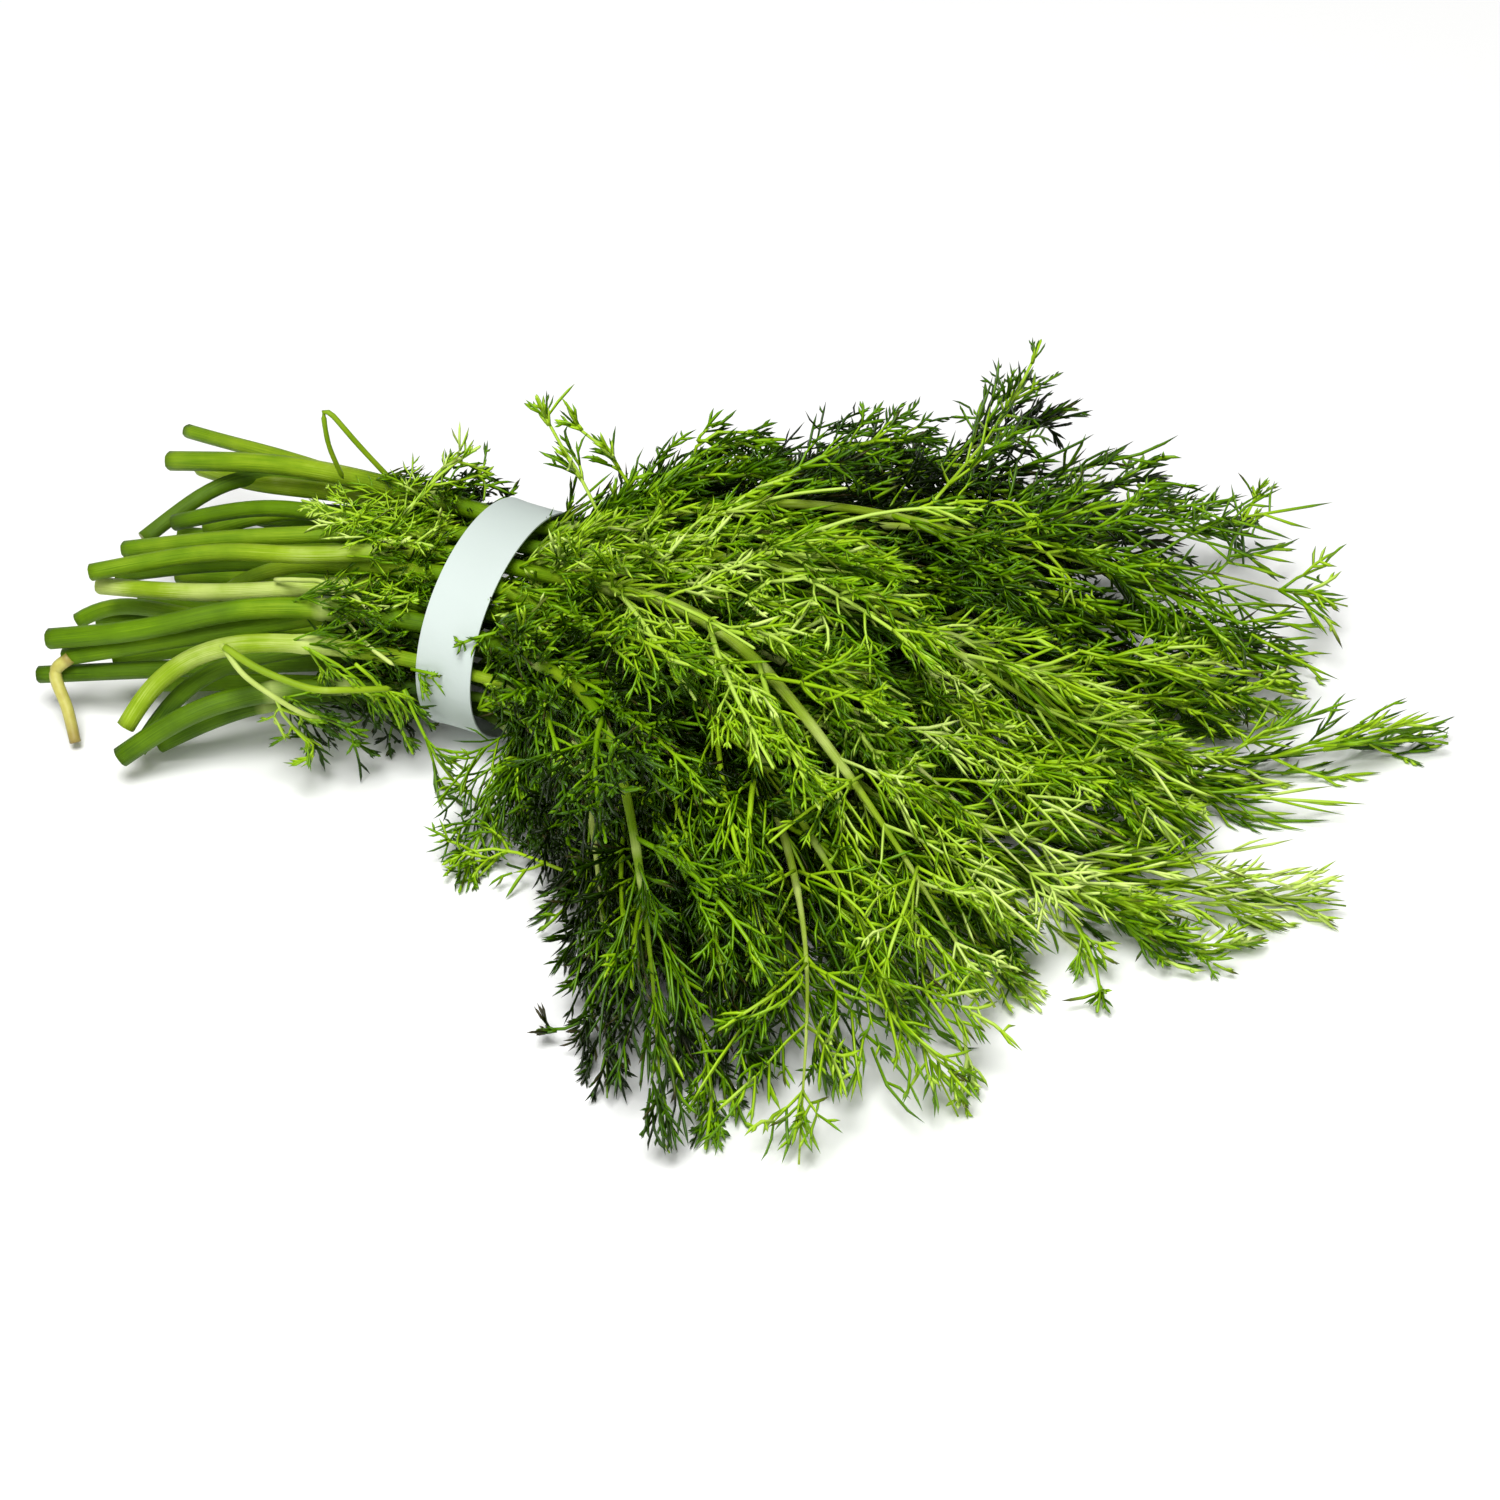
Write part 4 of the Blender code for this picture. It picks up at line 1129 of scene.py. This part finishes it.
def lay_frond(draw, owner, kind, sketch, line, thick, thread_radius, tone_shift, dry_share):
    """One frond's threads, axes and rachis, laid along its line."""
    roll = draw.uniform(-ROLL_VARIES, ROLL_VARIES)
    fine = smooth(line, FINE_STEP)
    stretch = lengths_along(fine)[-1] / TEMPLATE_LENGTH
    spread = (SPREAD[0] + SPREAD[1] * stretch) * draw.uniform(*SPREAD_VARIES)
    shade = tone_shift + draw.uniform(-SHADE_VARIES, SHADE_VARIES)
    strands = []
    for paths, own, shape, drying in (
        (sketch.threads, sketch.thread_tones, THREAD_SHAPE, THREADS_DRY),
        (sketch.forks, sketch.fork_tones, FORK_SHAPE, FORKS_DRY),
    ):
        paths = inside(lay(np.array(paths), fine, spread, roll), thread_radius)
        own = np.array(own)
        tones = (shade + own * THREAD_TONE_VARIES)[:, None] + np.linspace(*THREAD_TONES, len(shape))
        full = np.maximum(thread_radius * (1 + THREAD_VARIES * own), THREAD_THINNEST)
        own_radii = full[:, None] * np.array(shape)
        dry = np.array([draw.random() < dry_share for _ in paths])[:, None] * np.array(drying)
        strands.append(Strands(paths, own_radii, tones, dry))
    axes = inside(lay(np.array(sketch.axes), fine, spread, roll), AXIS_RADII[0])
    axis_radii = np.array(sketch.axis_radii) * min(1.0, thread_radius / AXIS_THREAD)
    axis_tones = np.full(axes.shape[:2], tone_shift + AXIS_PALER)
    rachis, rachis_radii = None, None
    if thick:
        rachis = inside(smooth(line, RACHIS_STEP), RACHIS_MARGIN)
        near_end = rachis[-1] * (1 - BLUNT_END) + rachis[-2] * BLUNT_END
        rachis = np.insert(rachis, -1, near_end, axis=0)
        rachis_radii = np.linspace(thick, RACHIS_END, len(rachis))
    stem_side = (axes, axis_radii, axis_tones, rachis, rachis_radii, tone_shift + RACHIS_PALER)
    return Laid(owner, kind, strands, np.array(sketch.parents), *stem_side)


# More fronds than the cores: long ones that lie along the stems in among the others, combs of long threads
# that hide the stems on both sides of the tie, and small twigs held in among the bare stems.
LEAF_TONE = 0.4
LEAF_TONE_VARIES = 0.06
# Painted light: the leaves of stems heading along the middle of the fan are painted paler.
MIDDLE_PAINTED_LIGHT = 0.14
MIDDLE_HEADING = -3
MIDDLE_WIDTHS = 3
BARE_TIP_PALER = 0.12
TIP_THREAD = 0.4
CROWN_THREAD = 0.44
SPRIG_THREAD = (0.28, 0.38)
SPRIG_RACHIS = 0.45
FROND_THREAD = (0.35, 0.43)
FILL_SHARES = (0.04, 0.17, 0.34)
FILL_PAST_TIE = 2
FILL_LENGTH = (44.0, 66.0)
FILL_ANGLE = (6.0, 26.0)
FILL_PITCH = (-8.0, 22.0)
FILL_DROOP = 0.45
FILL_RACHIS = 0.6
UPPER_ROW = 2
COMBED_PAST = (2, 13)
COMBED_BEFORE = ((-10, -2), (-6, -2))
COMBED_BEFORE_ROWS = (3, 4, 5)
COMBED_BEFORE_SLOT = -15
COMB_DEEP = 0.72
COMB_OFF_TIE = 0.5
COMB_DRY = 0.1
COMB_PAST = (0.38, 0.02)
COMB_BEFORE = (0.28, -0.1)
TUCKED = (-46.0, -11.0)
TUCKED_OFF_TIE = 1
TUCKED_LENGTH = (14.0, 26.0)
TUCKED_ANGLE = (5, 35)
TUCKED_PITCH = (-20, 30)
TUCKED_DROOP = 0.5
TWIG_THREAD = (0.22, 0.32)
TWIG_RACHIS = 0.36

draw = random.Random(SEED + 5)
laid = []
for k, line in enumerate(lines):
    stem = STEMS[k]
    tie = int(np.argmax(line[:, 0] > 0))
    # Painted light: paler leaves on the stems that head along the fan's middle.
    paler = MIDDLE_PAINTED_LIGHT * math.cos(math.radians(MIDDLE_WIDTHS * (stem.heading - MIDDLE_HEADING)))
    shade = LEAF_TONE + paler + draw.uniform(-LEAF_TONE_VARIES, LEAF_TONE_VARIES)
    for owner, group, core in fronds:
        if owner != k:
            continue
        if group < len(lines):
            crowned = k in CROWNED
            sketch = draw.choice(CROWNS if crowned else BRUSHES)
            thread = CROWN_THREAD if crowned else TIP_THREAD
            tip_shade = shade + (BARE_TIP_PALER if k in BARE_LENGTHS else 0.0)
            tip = line[stalks[k] - 1 :]
            laid.append(lay_frond(draw, k, "tip", sketch, tip, None, thread, tip_shade, DRY_SHARE))
        elif len(core) == SPRIG_NODES + 1:
            thread = draw.uniform(*SPRIG_THREAD)
            sketch = draw.choice(TWIGS + WISPS)
            laid.append(lay_frond(draw, k, "sprig", sketch, core, SPRIG_RACHIS, thread, shade, DRY_SHARE))
        else:
            thread = draw.uniform(*FROND_THREAD)
            sketch = draw.choice(LEAVES)
            laid.append(lay_frond(draw, k, "side", sketch, core, RACHIS_RADIUS, thread, shade, DRY_SHARE))
    upper = stem.row >= UPPER_ROW
    for where in FILL_SHARES if upper else FILL_SHARES[1:]:
        at = tie + round((len(line) - 1 - tie) * (where + draw.uniform(-SIDE_SPREAD, SIDE_SPREAD)))
        at = max(at, tie + FILL_PAST_TIE)
        heading, pitch = bearing(line, at)
        pitch += math.radians(draw.uniform(*FILL_PITCH))
        turn = math.radians(draw.uniform(*FILL_ANGLE)) * draw.choice((-1, 1))
        length = draw.uniform(*FILL_LENGTH)
        core = frond_line(line[at], heading, pitch, turn, FILL_DROOP, length, FROND_NODES)
        if in_fan(core):
            sketch = draw.choice(LEAVES + BRUSHES)
            thread = draw.uniform(*FROND_THREAD)
            laid.append(lay_frond(draw, k, "fill", sketch, core, FILL_RACHIS, thread, shade, DRY_SHARE))
    thread, paler = COMB_PAST
    for _ in range(1 + upper):
        core = line[tie + COMBED_PAST[0] : tie + COMBED_PAST[1]]
        deep = math.hypot(core[0, 1] / TIE_HALF_ACROSS, core[0, 2] / TIE_HALF_HIGH - 1) < COMB_DEEP
        root = 0.0 if deep else TIE_WIDTH / 2 + COMB_OFF_TIE
        core = core - (core[0, 0] - root) * (core[1] - core[0]) / (core[1, 0] - core[0, 0])
        sketch = draw.choice(COMBS)
        laid.append(lay_frond(draw, k, "fill", sketch, core, None, thread, shade + paler, COMB_DRY))
    thread, paler = COMB_BEFORE
    for before in COMBED_BEFORE if stem.row in COMBED_BEFORE_ROWS or stem.slot < COMBED_BEFORE_SLOT else ():
        core = line[tie + before[0] : tie + before[1]]
        sketch = draw.choice(COMBS)
        laid.append(lay_frond(draw, k, "comb", sketch, core, None, thread, shade + paler, COMB_DRY))
    at = max(FIRST_FROND, tie + round(draw.uniform(*TUCKED) / STEM_STEP))
    heading, _ = bearing(line, at)
    turn = math.radians(draw.uniform(*TUCKED_ANGLE)) * draw.choice((-1, 1))
    pitch = math.radians(draw.uniform(*TUCKED_PITCH))
    core = frond_line(line[at], heading, pitch, turn, TUCKED_DROOP, draw.uniform(*TUCKED_LENGTH), SPRIG_NODES)
    if core[:, 0].max() < -TIE_WIDTH / 2 - TUCKED_OFF_TIE:
        thread = draw.uniform(*TWIG_THREAD)
        sketch = draw.choice(TWIGS)
        laid.append(lay_frond(draw, k, "twig", sketch, core, TWIG_RACHIS, thread, shade, DRY_SHARE))
for (owner, kind, *look), run in read_rows(SINGLE_SPRIGS):
    long = np.linalg.norm(run[-1] - run[0]) > SPRIG_LENGTH[1]
    sketch = draw.choice((LEAVES if long else TWIGS) if kind == "leafy" else WISPS)
    look = [float(value) for value in look]
    laid.append(lay_frond(draw, int(owner), "single", sketch, run, SPRIG_RACHIS, *look))

# Threads over the bare lengths of stems are left out.
for k, (bare_from, bare_to) in BARE_LENGTHS.items():
    tie = int(np.argmax(lines[k][:, 0] > 0))
    first = tie + round((len(lines[k]) - 1 - tie) * bare_from)
    last = tie + round((len(lines[k]) - 1 - tie) * bare_to)
    bare = lines[k][first : last + 1]
    bare_radius = radii[k][first : last + 1] * BARE_STOUTNESS[k]
    for n, frond in enumerate(laid):
        thinned = []
        for strand in frond.strands:
            gone = over_stem(strand.paths, bare, bare_radius, BARE_MARGIN)
            gone &= np.array([draw.random() < BARE_SHARE for _ in gone])
            if frond.kind == "fill" or (frond.kind == "side" and frond.owner not in BARE_LENGTHS):
                cleared = over_stem(strand.paths, bare, np.zeros(len(bare)), CLEARED_MARGIN)
                gone |= cleared & np.array([draw.random() < CLEARED_SHARE for _ in gone])
            if thinned:
                gone |= lost[frond.parents]
                parents = (np.cumsum(~lost) - 1)[frond.parents[~gone]]
            thinned.append(Strands(*(values[~gone] for values in strand)))
            lost = gone
        open_axes = slice(None)
        if frond.owner != k:
            open_axes = ~over_stem(frond.axes, bare, bare_radius, BARE_MARGIN)
        laid[n] = frond._replace(
            strands=thinned,
            parents=parents,
            axes=frond.axes[open_axes],
            axis_radii=frond.axis_radii[open_axes],
            axis_tones=frond.axis_tones[open_axes],
        )

# Painted shade darkens the threads further in, and painted light brightens the outermost ones and the leafy
# end;
# painted shade also darkens both sides.
outward = np.array((0, 0, 1.0)) - SEEN_AHEAD
outward /= np.linalg.norm(outward)
upward = np.cross(outward, SEEN_RIGHT)
middles = np.vstack([strand.paths[:, 1] for frond in laid for strand in frond.strands])
height = middles @ outward
columns = np.floor(np.stack([middles @ SEEN_RIGHT, middles @ upward], 1) / PATCH).astype(int)
columns -= columns.min(0)
top = np.full(columns.max(0) + 1, -1e9)
np.maximum.at(top, (columns[:, 0], columns[:, 1]), height)
painted_light_and_shade = np.clip(PAINTED_SHADE_LIMITS[1] - PAINTED_SHADE_RATE * (top[columns[:, 0], columns[:, 1]] - height), *PAINTED_SHADE_LIMITS)
painted_light_and_shade += np.interp(middles[:, 0], *PAINTED_LIGHT_ALONG)
painted_light_and_shade += np.interp(middles[:, 1], *PAINTED_SHADE_ACROSS) * np.interp(middles[:, 0], *PAINTED_SHADE_FADES)
painted_light_and_shade = np.split(painted_light_and_shade, np.cumsum([len(strand.paths) for frond in laid for strand in frond.strands])[:-1])

for k in range(len(lines)):
    points, faces, shades, dried, start = [], [], [], [], 0
    for frond, dark in zip(laid, zip(painted_light_and_shade[::2], painted_light_and_shade[1::2])):
        if frond.owner != k:
            continue
        parts = []
        for strand, darker in zip(frond.strands, dark):
            if len(strand.paths):
                tones = strand.tones + darker[:, None]
                parts.append(skin(strand.paths, strand.radii, tones, THREAD_SIDES))
                ringed = np.repeat(strand.dry[:, :-1], THREAD_SIDES, axis=1)
                dried.append(np.concatenate([ringed, strand.dry[:, -1:]], axis=1).reshape(-1))
        plain_from = len(parts)
        if len(frond.axes):
            parts.append(skin(frond.axes, frond.axis_radii, frond.axis_tones, THREAD_SIDES))
        if frond.rachis is not None:
            rachis_tones = np.full((1, len(frond.rachis)), frond.rachis_tone)
            parts.append(skin(frond.rachis[None], frond.rachis_radii[None], rachis_tones, RACHIS_SIDES))
        for p, f, t in parts:
            points.append(p)
            faces.append(f + start)
            shades.append(t)
            start += len(p)
        dried.append(np.zeros(sum(len(p) for p, _, _ in parts[plain_from:])))
    layers = {"tone": np.concatenate(shades), "wilt": np.concatenate(dried)}
    name = f"stem_{k + 1:02d}"
    leafage = mesh_object(f"{name}_fronds", np.vstack(points), np.vstack(faces), layers, [leaf_skin])
    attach(leafage, "root")
    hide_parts(f"stem_{k + 1:02d}")


# The small side stalks
# Bare leaf stalks that stand out from the bunch of stems: one bent over above it, thin pale ones in front,
# and one above those. Each line gives a name, its stem, its radius, its tone and its run, point by point.
SIDE_STALK_STEP = 1.5
SIDE_STALK_END = 0.8
SIDE_STALK_SIDES = 8
SIDE_STALKS = """
bent_leaf_stalk 24 0.72 0.2: -33 12 44, -40 8 56, -46.5 7 64, -48.3 7 64.5, -48.2 6.4 62, -47 6 55, -45 8 45
pale_leaf_stalk 17 0.6 0.5: -47 -22 36, -40 -23 39, -32 -24 41, -25 -29 37, -17 -33 35, -9 -35 33
pale_leaf_stalk_fork 17 0.5 0.5: -32 -24 41, -27 -25 42, -22 -27 42, -17 -28 38
front_side_stalk 14 0.7 0.4: -45 -50 38, -38 -53 34, -30 -53 30, -25 -51 26, -22 -47 22
upper_side_stalk 14 0.9 0.32: -44 -50.5 38, -34 -52 36, -22 -51 34, -15 -47 33, -7 -40 31
"""
for (name, k, radius, shade), run in read_rows(SIDE_STALKS):
    k = int(k)
    path = smooth(run, SIDE_STALK_STEP)
    thinner = np.linspace(float(radius), float(radius) * SIDE_STALK_END, len(path))
    p, f, t = skin(path[None], thinner[None], np.full((1, len(path)), float(shade)), SIDE_STALK_SIDES)
    layers = {"tone": t, "joint": np.zeros(len(p))}
    side_stalk = mesh_object(name, p, f, layers, [stalk_skin], uv=np.stack([t, t], 1))
    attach(side_stalk, "root")
    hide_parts(f"stem_{k + 1:02d}")


# The wilted side stalk
# One side stalk was torn and has dried to straw. It hangs from its stem's cut end down to the table, and is
# brown where it is torn and at its end.
WILTED_END = 0.85
BROWN_ALONG = (-1.6, 0.7)
BROWN_START = 0.5
straw, tree, shader = new_material("dried_stalk")
place = add_node(tree, "ShaderNodeTexCoord").outputs["Object"]
faded = mixed(tree, noise(tree, place, Scale=500.0, Detail=3.0), "a89a36", "d3d272")
set_surface(tree, shader, mixed(tree, stored(tree, "wilt"), faded, "7a5a28"), 0.5)
side_line = smooth(WILTED_RUN, STEM_STEP / 4)
end_on = np.vstack([side_line, side_line[-1] + (side_line[-1] - side_line[-2]) * 0.1])
wilted_radii = np.r_[np.linspace(WILTED_RADIUS, WILTED_RADIUS * WILTED_END, len(side_line)), 0.0]
browning = np.r_[np.clip(np.linspace(*BROWN_ALONG, len(side_line)), 0, 1), 1.0]
browning[:2] = BROWN_START
p, f, t = skin(end_on[None], wilted_radii[None], browning[None], SIDE_STALK_SIDES)
stub = mesh_object("wilted_side_stalk", p, f, {"wilt": t}, [straw])
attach(stub, "root")
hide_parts(f"stem_{WILTED_STEM + 1:02d}")


# The tie
# A strip of thin white paper wrapped once round the bunch; the real one is glued to itself at the back, and
# here it is made as one closed band. The bunch's weight presses it flat underneath, and its long edges stand a
# little proud of the stems.
TIE_PAPER = 0.35
TIE_FACETS = 120
TIE_CUTS = 4
TIE_ACROSS_LESS = 0.45
TIE_HIGH_MORE = 0.15
TIE_WIDTH_SHARE = 0.985
TIE_UNDERSIDE = 0.05
EDGE_PROUD = 0.25
EDGE_POWER = 3
MIDDLE_WAVES = 0.12
EDGE_WAVES = 0.15
TIE_CREASE = 40
bpy.ops.object.select_all(action="DESELECT")
bpy.ops.mesh.primitive_cylinder_add(vertices=TIE_FACETS, radius=1, depth=2, end_fill_type="NOTHING")
tie = bpy.context.object
tie.name = "tie_strip"
bpy.ops.object.mode_set(mode="EDIT")
bpy.ops.mesh.select_all(action="SELECT")
bpy.ops.mesh.subdivide(number_cuts=TIE_CUTS)
bpy.ops.object.mode_set(mode="OBJECT")
co = np.empty(len(tie.data.vertices) * 3)
tie.data.vertices.foreach_get("co", co)
co = co.reshape(-1, 3)
turn = np.arctan2(co[:, 1], co[:, 0])
edge = np.abs(co[:, 2]) ** EDGE_POWER
bulge = EDGE_PROUD * edge + MIDDLE_WAVES * np.sin(3 * turn + 1) * (1 - edge)
y = (TIE_HALF_ACROSS - TIE_ACROSS_LESS + bulge) * np.cos(turn)
z = TIE_HALF_HIGH + (TIE_HALF_HIGH + TIE_HIGH_MORE + bulge) * np.sin(turn)
x = co[:, 2] * TIE_WIDTH / 2 * TIE_WIDTH_SHARE + EDGE_WAVES * np.sin(2 * turn)
placed = np.stack([x, y, np.maximum(z, TIE_UNDERSIDE)], 1) * MM
tie.data.vertices.foreach_set("co", placed.ravel())
tie.data.update()
bpy.context.view_layer.objects.active = tie
wall = tie.modifiers.new("paper", "SOLIDIFY")
wall.thickness = TIE_PAPER * MM
wall.offset = -1
bpy.ops.object.modifier_apply(modifier=wall.name)
bpy.ops.object.shade_smooth_by_angle(angle=math.radians(TIE_CREASE))

# Uncoated white paper: matt, faintly cool, with soft fibre mottle too fine to see but as a slight
# unevenness.
paper, tree, shader = new_material("uncoated_white_paper")
place = add_node(tree, "ShaderNodeTexCoord").outputs["Object"]
fibres = noise(tree, place, Scale=900.0, Detail=3.0)
sheet = mixed(tree, noise(tree, place, Scale=60.0, Detail=2.0), "c3cec9", "cbd5d1")
set_surface(tree, shader, sheet, 0.7, None, fibres, Strength=0.15, Distance=0.0002)
tie.data.materials.append(paper)
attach(tie, "root")
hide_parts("tie")


# The size of what shows, found the same way as the CAD model's own
low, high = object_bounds()
